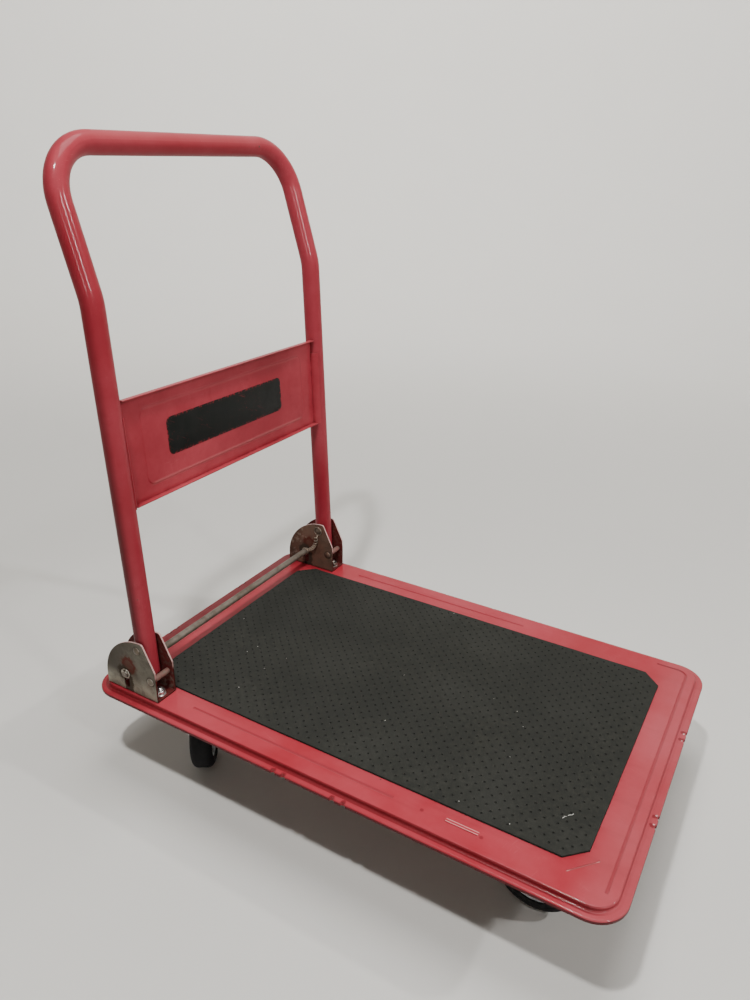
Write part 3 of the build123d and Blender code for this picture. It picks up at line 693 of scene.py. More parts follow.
def enamel_finish(name, colours, dust, chips, scratch_turn, grime=0.7, soil=0.85, wear=None):
    """Sprayed enamel, faded, dusty and scuffed by use, with painted shade in its occluded corners, and
    the piece's own wear and painted light if it has any.
    """
    look = bpy.context.scene.truck_enamel
    finish = Finish(name)
    tree = finish.tree
    coords = body_coords(tree)
    at, facing = parts(tree, coords), body_facing(tree)
    chalk = span(tree, grain(tree, coords, 7.0, 5.0, 0.6), 0.32, 0.72)
    base = over(tree, chalk, rgba(colours[0]), rgba(colours[1]))
    drawn = span(tree, grain(tree, coords, 5.0, 4.0, 0.6, (1.0, 16.0, 16.0)), 0.52, 0.74)
    base = over(tree, calc(tree, "MULTIPLY", drawn, 0.22), base, rgba(look.streak))
    scuffs = place_group(
        tree, "Fine Scratches", scale=30.0, turn=scratch_turn, amount=0.22
    )["Mask"]
    base = over(tree, scuffs, base, rgba(look.scuff))
    film = place_group(tree, "Settled Dust", scale=11.0, amount=dust)["Mask"]
    base = over(tree, film, base, rgba(look.dust))
    # Painted shade in the occluded corners.
    held = place_group(tree, "Crevice Grime And Shade", reach=0.012, amount=grime)["Mask"]
    base = over(tree, held, base, rgba(look.shade))
    if wear:
        base = wear(tree, at, facing, base)
    below = span(tree, facing["Z"], -0.55, -0.85)
    base = over(tree, calc(tree, "MULTIPLY", below, soil), base, rgba(look.under))
    rubbed = place_group(tree, "Edge Rub", radius=0.0012, scale=70.0, amount=chips)["Mask"]
    nicks = place_group(tree, "Specks", scale=85.0, share=0.030, size=0.14)["Mask"]
    bare = calc(tree, "MAXIMUM", rubbed, nicks)
    base = over(tree, bare, base, rgba(look.primer))
    rough = calc(tree, "MULTIPLY_ADD", chalk, 0.12, look.roughness)
    rough = calc(tree, "MULTIPLY_ADD", film, 0.5, rough)
    rough = calc(tree, "MULTIPLY_ADD", scuffs, 0.3, rough)
    rough = calc(tree, "MULTIPLY_ADD", bare, 0.4, rough, clamp=True)
    peel = place_group(tree, "Surface Peel", scale=420.0, fine=0.35)["Height"]
    height = calc(tree, "MULTIPLY_ADD", bare, -1.5, peel)
    gloss = {
        "Coat Weight": 0.20, "Coat Roughness": 0.11, "IOR": 1.5, "Specular IOR Level": 0.09,
    }
    return finish.done(base, rough, height, look.peel, fixed=gloss)


def plated_finish(name, tint, rust_scale, cover, offset, metallic, rough, bright, grime):
    """Zinc plating that has dulled, with rust where it has gone."""
    look = bpy.context.scene.truck_steel
    finish = Finish(name)
    tree = finish.tree
    coords = body_coords(tree)
    clouds = span(tree, grain(tree, coords, 45.0, 5.0, 0.65), 0.35, 0.68)
    runs = span(tree, grain(tree, coords, 60.0, 3.0, 0.6, (1.0, 1.0, 0.18)), 0.45, 0.70)
    base = over(tree, clouds, rgba(tint), rgba(look.stain))
    base = over(tree, calc(tree, "MULTIPLY", runs, 0.45), base, rgba(look.old_rust))
    rubbed = place_group(tree, "Edge Rub", radius=0.0009, scale=25.0, amount=bright)["Mask"]
    base = over(tree, rubbed, base, rgba(look.bright))
    rust = place_group(
        tree, "Rust Bloom", scale=rust_scale, cover=cover, offset=offset,
        old=rgba(look.old_rust), fresh=rgba(look.rust),
    )
    held = place_group(tree, "Crevice Grime And Shade", reach=0.006, amount=grime)["Mask"]
    eaten = calc(tree, "MAXIMUM", rust["Mask"], held)
    base = over(tree, eaten, base, rust["Colour"])
    metal = calc(tree, "MULTIPLY", calc(tree, "SUBTRACT", 1.0, eaten), metallic)
    dull = calc(tree, "MULTIPLY_ADD", clouds, 0.16, rough)
    dull = calc(tree, "MULTIPLY_ADD", eaten, 0.45, dull, clamp=True)
    ripple = place_group(tree, "Surface Peel", scale=260.0, fine=0.6)["Height"]
    height = calc(tree, "MULTIPLY_ADD", rust["Height"], 2.2, ripple)
    return finish.done(base, dull, height, 0.00009, metal, {"Specular IOR Level": 0.25})


def bracket_finish(name, side, tint, brown, metallic, upper_shade):
    """Dull plating of a hinge bracket, stained round the bar's slot and sprayed over inside, with a
    share of painted shadow over its upper part.
    """
    look = bpy.context.scene.truck_steel
    finish = Finish(name)
    tree = finish.tree
    coords = body_coords(tree)
    at, facing = parts(tree, coords), body_facing(tree)
    clouds = span(tree, grain(tree, coords, 34.0, 5.0, 0.62), 0.34, 0.70)
    fine = span(tree, grain(tree, coords, 160.0, 4.0, 0.65), 0.35, 0.68)
    base = over(tree, calc(tree, "MULTIPLY", clouds, 0.5), rgba(tint), rgba(look.stain))
    mottle = span(tree, grain(tree, coords, 70.0, 5.0, 0.7, distortion=0.6), 0.40, 0.64)
    base = over(tree, calc(tree, "MULTIPLY", mottle, 0.42), base, rgba(look.tarnish))
    patches = grain(tree, coords, 24.0, 5.0, 0.6, distortion=0.4)
    patches = span(tree, patches, 0.62 - brown, 0.90 - brown)
    base = over(tree, calc(tree, "MULTIPLY", patches, 0.8), base, rgba(look.brown))
    # Painted shadow over the upper part, by the given share.
    base = upper_shadow(tree, coords, at, side, upper_shade, base)
    bar = middle("release_bar")
    across = calc(tree, "SUBTRACT", at["X"], bar.x)
    above = calc(tree, "SUBTRACT", at["Z"], bar.z)
    marks, patch = slot_stains(tree, fine, across, above)
    base = over(tree, calc(tree, "MULTIPLY", patch, 0.95), base, rgba(look.reddish))
    base = rivet_collars(tree, at, side, base)
    base = over(tree, calc(tree, "MULTIPLY", marks, 0.94), base, rgba(look.grimy))
    held = place_group(tree, "Crevice Grime And Shade", reach=0.006, amount=0.7)["Mask"]
    base = over(tree, held, base, rgba(look.old_rust))
    cut, rubbed_cut = cut_edges(tree, at, facing, side, diagonal(tree, across, above))
    base = over(tree, cut, base, rgba(look.old_rust))
    base = over(tree, calc(tree, "MULTIPLY", rubbed_cut, 0.9), base, rgba(look.edge))
    sprayed = sprayed_between(tree, at, side, fine, rubbed_cut)
    base = over(tree, sprayed, base, rgba(bpy.context.scene.truck_enamel.overspray))
    dulled = calc(tree, "MAXIMUM", calc(tree, "MULTIPLY", patches, 0.7), patch)
    dulled = calc(tree, "MAXIMUM", marks, calc(tree, "MAXIMUM", sprayed, dulled))
    metal = calc(tree, "MULTIPLY", calc(tree, "SUBTRACT", 1.0, dulled), metallic)
    rough = calc(tree, "MULTIPLY_ADD", dulled, 0.28, calc(tree, "MULTIPLY_ADD", clouds, 0.12, 0.42))
    ripple = place_group(tree, "Surface Peel", scale=260.0, fine=0.6)["Height"]
    height = calc(tree, "MULTIPLY_ADD", calc(tree, "MULTIPLY", dulled, fine), 1.2, ripple)
    return finish.done(base, rough, height, 0.00008, metal, {"Specular IOR Level": 0.12})


def upper_shadow(tree, coords, at, side, upper_shade, base):
    """Painted shadow over a bracket's upper part, deeper towards the rear, with paler spots behind it
    on the left one.
    """
    look = bpy.context.scene.truck_steel
    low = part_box(f"hinge_bracket_{side}")[0]
    upper = span(tree, at["Z"], low.z + 11.0 * MM, low.z + 34.0 * MM)
    rearward = span(tree, at["X"], low.x + 62.0 * MM, low.x + 10.0 * MM, 0.72, 1.0)
    shadowed = calc(tree, "MULTIPLY", calc(tree, "MULTIPLY", upper, rearward), upper_shade)
    base = over(tree, shadowed, base, rgba(look.tarnish))
    if side == "left":
        spots = span(tree, grain(tree, coords, 95.0, 4.0, 0.62), 0.53, 0.66)
        behind = span(tree, at["X"], low.x + 62.0 * MM, low.x + 25.0 * MM)
        spots = calc(tree, "MULTIPLY", spots, behind)
        base = over(tree, calc(tree, "MULTIPLY", spots, 0.75), base, rgba(look.tan))
    return base


def rivet_collars(tree, at, side, base):
    """Grime round the heads of a bracket's two rivets."""
    look = bpy.context.scene.truck_steel
    for pin, amount in (("pivot_pin", 0.35), ("stop_pin", 0.75)):
        low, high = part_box(f"{pin}_{side}")
        centre, head = (low + high) / 2, (high.z - low.z) / 2
        off = diagonal(
            tree, calc(tree, "SUBTRACT", at["X"], centre.x), calc(tree, "SUBTRACT", at["Z"], centre.z)
        )
        collar = span(tree, off, head + 2.4 * MM, head + 0.6 * MM, 0.0, amount)
        base = over(tree, collar, base, rgba(look.grimy))
    return base


def cut_edges(tree, at, facing, side, off_bar):
    """Masks of a bracket's cut edges: all of them, and those that hands and loads rub.

    The rubbed ones lie above the ears' knee and outside the bar's slot.
    """
    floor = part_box(f"hinge_bracket_{side}")[0].z
    cut = span(tree, calc(tree, "ABSOLUTE", facing["Y"]), 0.55, 0.30)
    high_up = span(tree, at["Z"], floor + 34.0 * MM, floor + 42.0 * MM)
    off_slot = span(tree, off_bar, 24.0 * MM, 28.0 * MM)
    return cut, calc(tree, "MULTIPLY", cut, calc(tree, "MULTIPLY", high_up, off_slot))


def sprayed_between(tree, at, side, fine, bare):
    """Mask of the enamel sprayed over the faces between a bracket's ears."""
    low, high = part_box(f"hinge_bracket_{side}")
    middle_y = abs(low.y + high.y) / 2
    between = calc(
        tree, "ABSOLUTE", calc(tree, "SUBTRACT", calc(tree, "ABSOLUTE", at["Y"]), middle_y)
    )
    inner = span(tree, between, EAR_INNER_FACE + 0.8 * MM, EAR_INNER_FACE)
    sprayed = calc(tree, "MULTIPLY", inner, span(tree, fine, 0.9, 0.2, 0.55, 0.95))
    return calc(tree, "MULTIPLY", sprayed, calc(tree, "SUBTRACT", 1.0, bare))


def slot_stains(tree, fine, across, above):
    """Masks round the end of the bar: a dark disc with a run below it, and a patch over it."""
    smeared = diagonal(tree, calc(tree, "ADD", across, 3.0 * MM), above)
    disc = span(tree, calc(tree, "MULTIPLY_ADD", fine, 3.0 * MM, smeared), 16.5 * MM, 11.0 * MM)
    width = calc(
        tree, "MULTIPLY_ADD", fine, 3.0 * MM,
        calc(tree, "ABSOLUTE", calc(tree, "SUBTRACT", across, 3.5 * MM)),
    )
    run = calc(
        tree, "MULTIPLY", span(tree, width, 11.0 * MM, 7.5 * MM), span(tree, above, 2.0 * MM, -4.0 * MM)
    )
    off = diagonal(
        tree, calc(tree, "SUBTRACT", across, 7.0 * MM), calc(tree, "SUBTRACT", above, 15.0 * MM)
    )
    off = calc(tree, "MULTIPLY_ADD", fine, 3.5 * MM, off)
    rim = calc(tree, "ABSOLUTE", calc(tree, "SUBTRACT", off, 11.0 * MM))
    patch = calc(
        tree, "MAXIMUM", span(tree, rim, 6.0 * MM, 1.0 * MM),
        span(tree, off, 20.0 * MM, 10.0 * MM, 0.0, 0.75),
    )
    return calc(tree, "MAXIMUM", disc, run), patch


def rubber_finish(name, rubber, worn, grain_scale, depth, specks=0.0, dust=0.0):
    """Vulcanised rubber with a fine grain, rubbed paler in places, with painted shade and grime in its
    dimples and corners.
    """
    look = bpy.context.scene.truck_mat
    finish = Finish(name)
    tree = finish.tree
    coords = body_coords(tree)
    patches = span(tree, grain(tree, coords, 6.0, 5.0, 0.62), 0.35, 0.72)
    fine = span(tree, grain(tree, coords, 150.0, 3.0, 0.6), 0.35, 0.70)
    base = over(tree, calc(tree, "MULTIPLY", patches, fine), rgba(rubber), rgba(worn))
    film = place_group(tree, "Settled Dust", scale=9.0, amount=dust)["Mask"]
    base = over(tree, film, base, rgba(look.dust))
    crumbs = place_group(tree, "Specks", scale=110.0, share=specks, size=0.11)["Mask"]
    base = over(tree, crumbs, base, rgba(look.crumb))
    # Painted shade with grime in the dimples and corners.
    held = place_group(tree, "Crevice Grime And Shade", reach=0.003, amount=0.85)["Mask"]
    base = over(tree, held, base, rgba(look.grime))
    rough = calc(tree, "MULTIPLY_ADD", patches, 0.12, 0.72)
    peel = place_group(tree, "Surface Peel", scale=grain_scale, fine=0.8)["Height"]
    return finish.done(base, rough, peel, depth, fixed={"Specular IOR Level": 0.12})


def moulded_finish(name):
    """Moulded plastic of the wheel centres, dirty near the axle."""
    look = bpy.context.scene.truck_casters
    finish = Finish(name)
    tree = finish.tree
    coords = body_coords(tree)
    clouds = span(tree, grain(tree, coords, 30.0, 4.0, 0.6), 0.35, 0.7)
    darker = tuple(0.72 * c for c in look.hub)
    base = over(tree, clouds, rgba(look.hub), rgba(darker))
    held = place_group(tree, "Crevice Grime And Shade", reach=0.01, amount=0.9)["Mask"]
    base = over(tree, held, base, rgba(look.hub_grime))
    scuffs = place_group(
        tree, "Fine Scratches", scale=14.0, turn=(0.4, 0.2, 0.9), amount=0.4
    )["Mask"]
    base = over(tree, scuffs, base, rgba(look.hub_scuff))
    rough = calc(tree, "MULTIPLY_ADD", clouds, 0.15, 0.42)
    peel = place_group(tree, "Surface Peel", scale=600.0, fine=0.5)["Height"]
    return finish.done(base, rough, peel, 0.00003)


def label_finish(name):
    """Dark film, nearly whole, rubbed thin along its edges and in a few scratches."""
    look = bpy.context.scene.truck_label
    enamel = bpy.context.scene.truck_enamel
    panel_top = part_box("handle_panel")[1].z
    finish = Finish(name)
    tree = finish.tree
    coords = body_coords(tree)
    at = parts(tree, coords)
    clouds = span(tree, grain(tree, coords, 60.0, 4.0, 0.65), 0.35, 0.7)
    base = over(tree, clouds, rgba(look.ink), rgba(look.dulled))
    sideways = calc(tree, "ABSOLUTE", calc(tree, "ADD", at["Y"], look.side_shift))
    upright = calc(
        tree, "ABSOLUTE", calc(tree, "SUBTRACT", at["Z"], panel_top - look.centre_drop)
    )
    border = calc(
        tree, "MAXIMUM", calc(tree, "SUBTRACT", sideways, look.width / 2),
        calc(tree, "SUBTRACT", upright, look.height / 2),
    )
    near_edge = span(tree, border, -4.0 * MM, 0.0)
    crumbled = span(tree, grain(tree, coords, 210.0, 5.0, 0.7), 0.50, 0.60)
    wear = calc(tree, "MULTIPLY", near_edge, crumbled)
    faint = span(tree, grain(tree, coords, 320.0, 5.0, 0.75), 0.66, 0.72)
    where = span(tree, grain(tree, coords, 26.0, 3.0, 0.6), 0.50, 0.68)
    wear = calc(tree, "MAXIMUM", wear, calc(tree, "MULTIPLY", faint, where))
    scuffs = place_group(
        tree, "Fine Scratches", scale=16.0, turn=(0.5, 0.0, 0.0), amount=0.35
    )["Mask"]
    worn = calc(tree, "MAXIMUM", wear, scuffs)
    base = over(tree, calc(tree, "MULTIPLY", worn, 0.75), base, rgba(enamel.coat))
    rough = calc(tree, "MULTIPLY_ADD", clouds, 0.15, 0.42)
    peel = place_group(tree, "Surface Peel", scale=700.0, fine=0.6)["Height"]
    height = calc(tree, "MULTIPLY_ADD", worn, -1.0, peel)
    return finish.done(base, rough, height, 0.00004, fixed={"Specular IOR Level": 0.12})


def build_materials():
    """Mix every finish once; the pieces take them by name."""
    mix_enamels(bpy.context.scene.truck_enamel)
    mix_platings(
        bpy.context.scene.truck_steel, bpy.context.scene.truck_casters, bpy.context.scene.truck_enamel
    )
    mat, casters = bpy.context.scene.truck_mat, bpy.context.scene.truck_casters
    rubber_finish("Mat Rubber", mat.rubber, mat.worn, 1100.0, 0.00010, specks=0.012, dust=0.05)
    rubber_finish("Tyre Rubber", casters.tyre, casters.tyre_worn, 700.0, 0.00005, specks=0.006)
    rubber_finish("Paint Flecks", mat.fleck, mat.fleck_pale, 900.0, 0.00002)
    moulded_finish("Wheel Plastic")
    label_finish("Label Film")


def mix_enamels(look):
    """The enamel of the deck, the channels, the handle's tube and its panel."""
    deck, tube = (look.coat, look.faded), (look.tube_coat, look.tube_faded)
    panel = (look.tube_coat, look.faded)
    lengthwise, upright = (0.0, 0.0, 0.0), (0.0, pi / 2, 0.0)
    enamel_finish("Deck Enamel", deck, 0.03, 0.5, (0.0, 0.0, 0.35), grime=0.32, wear=deck_shade_and_wear)
    enamel_finish("Channel Enamel", deck, 0.05, 0.7, lengthwise, grime=1.0)
    enamel_finish("Handle Enamel", tube, 0.03, 0.5, upright, soil=0.1, wear=tube_shade_and_wear)
    enamel_finish("Panel Enamel", panel, 0.03, 0.5, upright, soil=0.1, wear=panel_rim_highlight)


def mix_platings(look, casters, enamel):
    """The steel of brackets, rivets, bar, springs, casters and fasteners."""
    # The last value of each bracket is the share of painted shadow over its upper part.
    bracket_finish("Bracket Plating Right", "right", look.plating, 0.06, 0.6, 0.95)
    bracket_finish("Bracket Plating Left", "left", look.brown, 0.10, 0.10, 0.0)
    # Each row: the rust's scale, cover and place, how metallic, how rough, rubbed edges, grime.
    for name, tint, *values in (
        ("Rivet Plating Right", look.dome, 60.0, 0.16, (0.1, 0.4, 0.2), 0.35, 0.30, 0.6, 0.5),
        ("Rivet Plating Left", look.brown, 60.0, 0.22, (0.5, 0.4, 0.2), 0.30, 0.45, 0.3, 0.35),
        ("Rivet Tarnish", look.stain, 60.0, 0.10, (0.3, 0.1, 0.2), 0.60, 0.30, 0.7, 0.5),
        ("Sprayed Pin", enamel.pin, 60.0, 0.16, (0.4, 0.4, 0.0), 0.00, 0.50, 0.3, 0.3),
        ("Bar End Ring", look.dome, 70.0, 0.20, (0.2, 0.1, 0.2), 0.95, 0.20, 0.5, 0.9),
        ("Galvanised Bar", look.bar, 22.0, 0.14, (0.7, 0.0, 0.1), 0.45, 0.46, 0.3, 0.4),
        ("Spring Wire", look.bronze, 90.0, 0.14, (0.2, 0.2, 0.9), 0.55, 0.34, 0.4, 0.9),
        ("Bright Zinc", look.bright, 80.0, 0.16, (0.0, 0.2, 0.5), 0.95, 0.24, 0.5, 0.45),
        ("Caster Plating", casters.plating, 30.0, 0.24, (0.9, 0.3, 0.4), 0.90, 0.30, 0.5, 0.8),
    ):
        plated_finish(name, tint, *values)


def paint(node_name, material_name):
    """Give a CAD node one of the finishes."""
    node = frame["nodes"][node_name]
    for slot in node.material_slots:
        slot.material = bpy.data.materials[material_name]
    return node


def soften(node_name, width):
    """Round a CAD node's sharp edges for the eye."""
    node = frame["nodes"][node_name]
    weld = node.modifiers.new("Weld", "WELD")
    weld.merge_threshold = 0.01 * MM
    bevel = node.modifiers.new("Edge", "BEVEL")
    bevel.width, bevel.segments = width, 2
    bevel.limit_method, bevel.angle_limit = "ANGLE", radians(32)
    bevel.use_clamp_overlap = True
    even = node.modifiers.new("Shade", "WEIGHTED_NORMAL")
    even.keep_sharp = False


# ------------------------------------------------------------------ mesh helpers


class Shape:
    """Collects the vertices and faces of one piece."""

    def __init__(self):
        self.verts, self.faces = [], []

    def add(self, solid, place=None):
        """Add vertices and faces, carried to their place by a matrix if one is given."""
        verts, faces = solid
        start = len(self.verts)
        self.verts += [place @ Vector(v) if place else Vector(v) for v in verts]
        self.faces += [[start + i for i in face] for face in faces]
        return self

    def piece(self, name, material, body, slot, stands_for=(), smooth=38.0):
        """Make the piece: its mesh, its finish, and the CAD body that it rides on."""
        mesh = bpy.data.meshes.new(name)
        mesh.from_pydata(self.verts, [], self.faces)
        mesh.validate()
        mesh.shade_smooth()
        mesh.set_sharp_from_angle(angle=radians(smooth))
        mesh.materials.append(bpy.data.materials[material])
        made = bpy.data.objects.new(name, mesh)
        bpy.context.scene.collection.objects.link(made)
        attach(made, body)
        if stands_for:
            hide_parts(*stands_for)
        return made


def stacked(rings, closed=False):
    """Faces between rings of equally many points, with flat ends unless the stack closes."""
    count = len(rings[0])
    verts = [p for ring in rings for p in ring]
    faces = []
    for level in range(len(rings) if closed else len(rings) - 1):
        a, b = level * count, (level + 1) % len(rings) * count
        for i in range(count):
            j = (i + 1) % count
            faces.append([a + i, a + j, b + j, b + i])
    if not closed:
        faces.append(list(reversed(range(count))))
        faces.append([len(verts) - count + i for i in range(count)])
    return verts, faces


def turned(profile, steps=48, closed=False):
    """A profile of (radius, height) points turned round Z, from bottom to top outside."""
    rings = [
        [
            (r * cos(2 * pi * i / steps), r * sin(2 * pi * i / steps), z)
            for i in range(steps)
        ]
        for r, z in profile
    ]
    return stacked(rings, closed)


def rounded_outline(width, height, corner, steps=6):
    """Points of a rounded rectangle round the origin, anticlockwise."""
    points = []
    for quarter, (sx, sy) in enumerate(((1, 1), (-1, 1), (-1, -1), (1, -1))):
        x, y = sx * (width / 2 - corner), sy * (height / 2 - corner)
        for i in range(steps + 1):
            a = pi / 2 * (quarter + i / steps)
            points.append((x + corner * cos(a), y + corner * sin(a)))
    return points


def inset(outline, amount):
    """An anticlockwise outline drawn in by an amount, point for point."""
    made = []
    count = len(outline)
    for i, point in enumerate(outline):
        before, here, after = Vector(outline[i - 1]), Vector(point), Vector(outline[(i + 1) % count])
        a, b = (here - before).normalized(), (after - here).normalized()
        inward = Vector((-a.y - b.y, a.x + b.x)).normalized()
        reach = amount / max(0.3, inward.dot(Vector((-a.y, a.x))))
        made.append(tuple(here + inward * reach))
    return made


def slab(outline, low, high, edge):
    """An outline raised from low to high, its top edge rounded."""
    levels = [(0.0, low)]
    for side, rise in ((0.0, 1.0), (0.3, 0.3), (1.0, 0.0)):
        levels.append((edge * side, high - edge * rise))
    return stacked([[(x, y, z) for x, y in inset(outline, away)] for away, z in levels])


def hexagon(flats, height, steps=8):
    """A hexagonal head from 0 to height with its top corners chamfered."""
    half, corner = flats / 2, flats / 2 / cos(pi / 6)
    levels = (
        (corner, 0.0), (corner, height * 0.80), (half * 1.02, height * 0.93), (half * 0.90, height)
    )
    rings = []
    for cap, z in levels:
        ring = []
        for i in range(6 * steps):
            a = 2 * pi * i / (6 * steps)
            side = (a % (pi / 3)) - pi / 6
            r = min(half / cos(side), cap)
            ring.append((r * cos(a), r * sin(a), z))
        rings.append(ring)
    return stacked(rings)


def stud(radius, low, high, pitch=1.25 * MM):
    """A threaded end with a chamfered tip."""
    profile, z = [(radius * 0.86, low)], low
    while z + pitch < high - pitch:
        profile += [(radius, z + pitch * 0.35), (radius, z + pitch * 0.5), (radius * 0.86, z + pitch)]
        z += pitch
    profile += [(radius * 0.80, high - 0.3 * pitch), (radius * 0.70, high)]
    return turned(profile, 20)


def washer(outer, thickness):
    """A flat disc from 0 to its thickness, its upper edge eased."""
    return turned([(outer, 0.0), (outer, thickness * 0.7), (outer * 0.96, thickness)], 32)


def swept(points, radius, sides=8):
    """A round wire along points, closed at its ends."""
    points = [Vector(p) for p in points]
    ahead = (points[1] - points[0]).normalized()
    side = ahead.orthogonal().normalized()
    rings = []
    for i, point in enumerate(points):
        now = (points[min(i + 1, len(points) - 1)] - points[max(0, i - 1)]).normalized()
        side = ahead.rotation_difference(now) @ side
        side = (side - now * side.dot(now)).normalized()
        ahead = now
        up = now.cross(side)
        rings.append(
            [
                point + radius * (side * cos(2 * pi * k / sides) + up * sin(2 * pi * k / sides))
                for k in range(sides)
            ]
        )
    return stacked(rings)


def placed(origin, up=(0, 0, 1), ahead=None):
    """A matrix that carries Z onto a direction and 0 onto an origin."""
    turn = Vector((0, 0, 1)).rotation_difference(Vector(up).normalized()).to_matrix().to_4x4()
    if ahead is not None:
        turn = turn @ Matrix.Rotation(ahead, 4, "Z")
    return Matrix.Translation(Vector(origin)) @ turn


def middle(node_name):
    """The middle of a CAD node's box."""
    low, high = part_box(node_name)
    return (low + high) / 2


# ------------------------------------------------------------------ pieces


class Builder:
    """What every operator of the truck shares."""

    bl_options = {"REGISTER", "UNDO"}

    def execute(self, context):
        """Build this step's pieces. What can't be built raises an error."""
        self.build(context.scene)
        return {"FINISHED"}


class TRUCK_OT_stage(Builder, bpy.types.Operator):
    """Lay the pale floor, hang the lamps and aim the camera"""

    bl_idname = "truck.stage"
    bl_label = "Stage"

    def build(self, scene):
        look = scene.truck_stage
        lens = bpy.data.cameras.new("Viewpoint")
        lens.lens = look.lens
        lens.sensor_width = 36.0
        lens.clip_start, lens.clip_end = 0.01, 100.0
        camera = bpy.data.objects.new("Viewpoint", lens)
        camera.location, camera.rotation_euler = look.camera, look.turn
        scene.collection.objects.link(camera)
        scene.camera = camera
        self.hang_lamps(scene)
        self.lay_floor(scene, look)
        world = bpy.data.worlds.new("Surround")
        world.use_nodes = True
        sky = world.node_tree.nodes["Background"]
        sky.inputs["Color"].default_value = rgba(look.backdrop)
        sky.inputs["Strength"].default_value = look.surround
        scene.world = world

    def hang_lamps(self, scene):
        """Two strips that only gleam, a soft ceiling light, three small lamps, three for the wall."""
        handle_middle, strip_width = (-0.33, 0.0, 0.70), 0.12
        for name, place, height, power in (
            ("Strip Front", (2.26, -1.12, 1.75), 0.60, 44.0),
            ("Strip Side", (1.05, -2.60, 1.33), 0.50, 12.0),
        ):
            strip = self.hang(scene, name, place, handle_middle, strip_width, power)
            strip.data.shape, strip.data.size_y = "RECTANGLE", height
            strip.visible_diffuse = False
        for name, place, aim, size, power in (
            ("Ceiling", (0.10, 0.30, 2.80), (0.05, 0.1, 0.0), 1.3, 44.0),
            ("Overhead", (0.05, -0.85, 2.20), (0.0, 0.0, 0.1), 0.10, 32.0),
            ("Front Left", (2.70, 0.90, 2.30), (0.0, 0.0, 0.3), 0.14, 38.0),
            ("Front Right", (2.35, -0.90, 2.30), (0.0, 0.0, 0.3), 0.14, 16.0),
            ("Wall Left", (-2.30, 1.10, 3.00), (-4.80, 2.30, 1.3), 1.6, 60.0),
            ("Wall Middle", (-1.40, 2.20, 3.00), (-2.80, 4.40, 1.3), 1.6, 76.0),
            ("Wall Right", (0.20, 2.60, 3.00), (0.40, 5.20, 1.3), 1.6, 76.0),
        ):
            self.hang(scene, name, place, aim, size, power)

    def hang(self, scene, name, place, aim, size, power):
        """One square lamp aimed at a spot."""
        lamp = bpy.data.lights.new(name, "AREA")
        lamp.shape, lamp.size, lamp.energy = "SQUARE", size, power
        holder = bpy.data.objects.new(name, lamp)
        holder.location = place
        holder.rotation_mode = "QUATERNION"
        holder.rotation_quaternion = (Vector(aim) - Vector(place)).to_track_quat("-Z", "Y")
        holder.visible_camera = False
        scene.collection.objects.link(holder)
        return holder

    def lay_floor(self, scene, look):
        """A flat round floor that sweeps up into a wall without a seam."""
        flat, sweep, steps = look.floor_reach, look.floor_sweep, 96
        profile = [(0.4 * flat, 0.0), (flat, 0.0)]
        for a in range(10, 91, 10):
            profile.append((flat + sweep * sin(radians(a)), sweep * (1 - cos(radians(a)))))
        profile.append((flat + sweep, look.wall_top))
        verts = [
            (r * cos(2 * pi * i / steps), r * sin(2 * pi * i / steps), z)
            for r, z in profile for i in range(steps)
        ]
        faces = [list(range(steps))]
        for level in range(len(profile) - 1):
            for i in range(steps):
                a, b = level * steps + i, level * steps + (i + 1) % steps
                faces.append([a, a + steps, b + steps, b])
        mesh = bpy.data.meshes.new("floor")
        mesh.from_pydata(verts, [], faces)
        mesh.shade_smooth()
        floor = bpy.data.objects.new("floor", mesh)
        scene.collection.objects.link(floor)
        mesh.materials.append(self.floor_finish(look))

    def floor_finish(self, look):
        """Pale matt paint, a little clouded, that can be seen through from below."""
        finish = Finish("Pale Floor")
        tree = finish.tree
        clouds = grain(tree, body_coords(tree), 2.5, 4.0, 0.6)
        paler = tuple(1.04 * c for c in look.floor)
        base = over(tree, clouds, rgba(look.floor), rgba(paler))
        finish.done(base, 0.9, grain(tree, body_coords(tree), 60.0), 0.0002)
        see_through = add_node(tree, "BsdfTransparent").outputs[0]
        under = add_node(tree, "NewGeometry").outputs["Backfacing"]
        mix = add_node(tree, "MixShader", {0: under, 1: finish.shader.outputs[0], 2: see_through})
        tree.links.new(mix.outputs[0], tree.nodes["Material Output"].inputs["Surface"])
        return finish.material


class TRUCK_OT_mix_finishes(Builder, bpy.types.Operator):
    """Build the shared effects and mix every finish"""

    bl_idname = "truck.mix_finishes"
    bl_label = "Finishes"

    def build(self, _scene):
        build_shared_effects()
        build_materials()


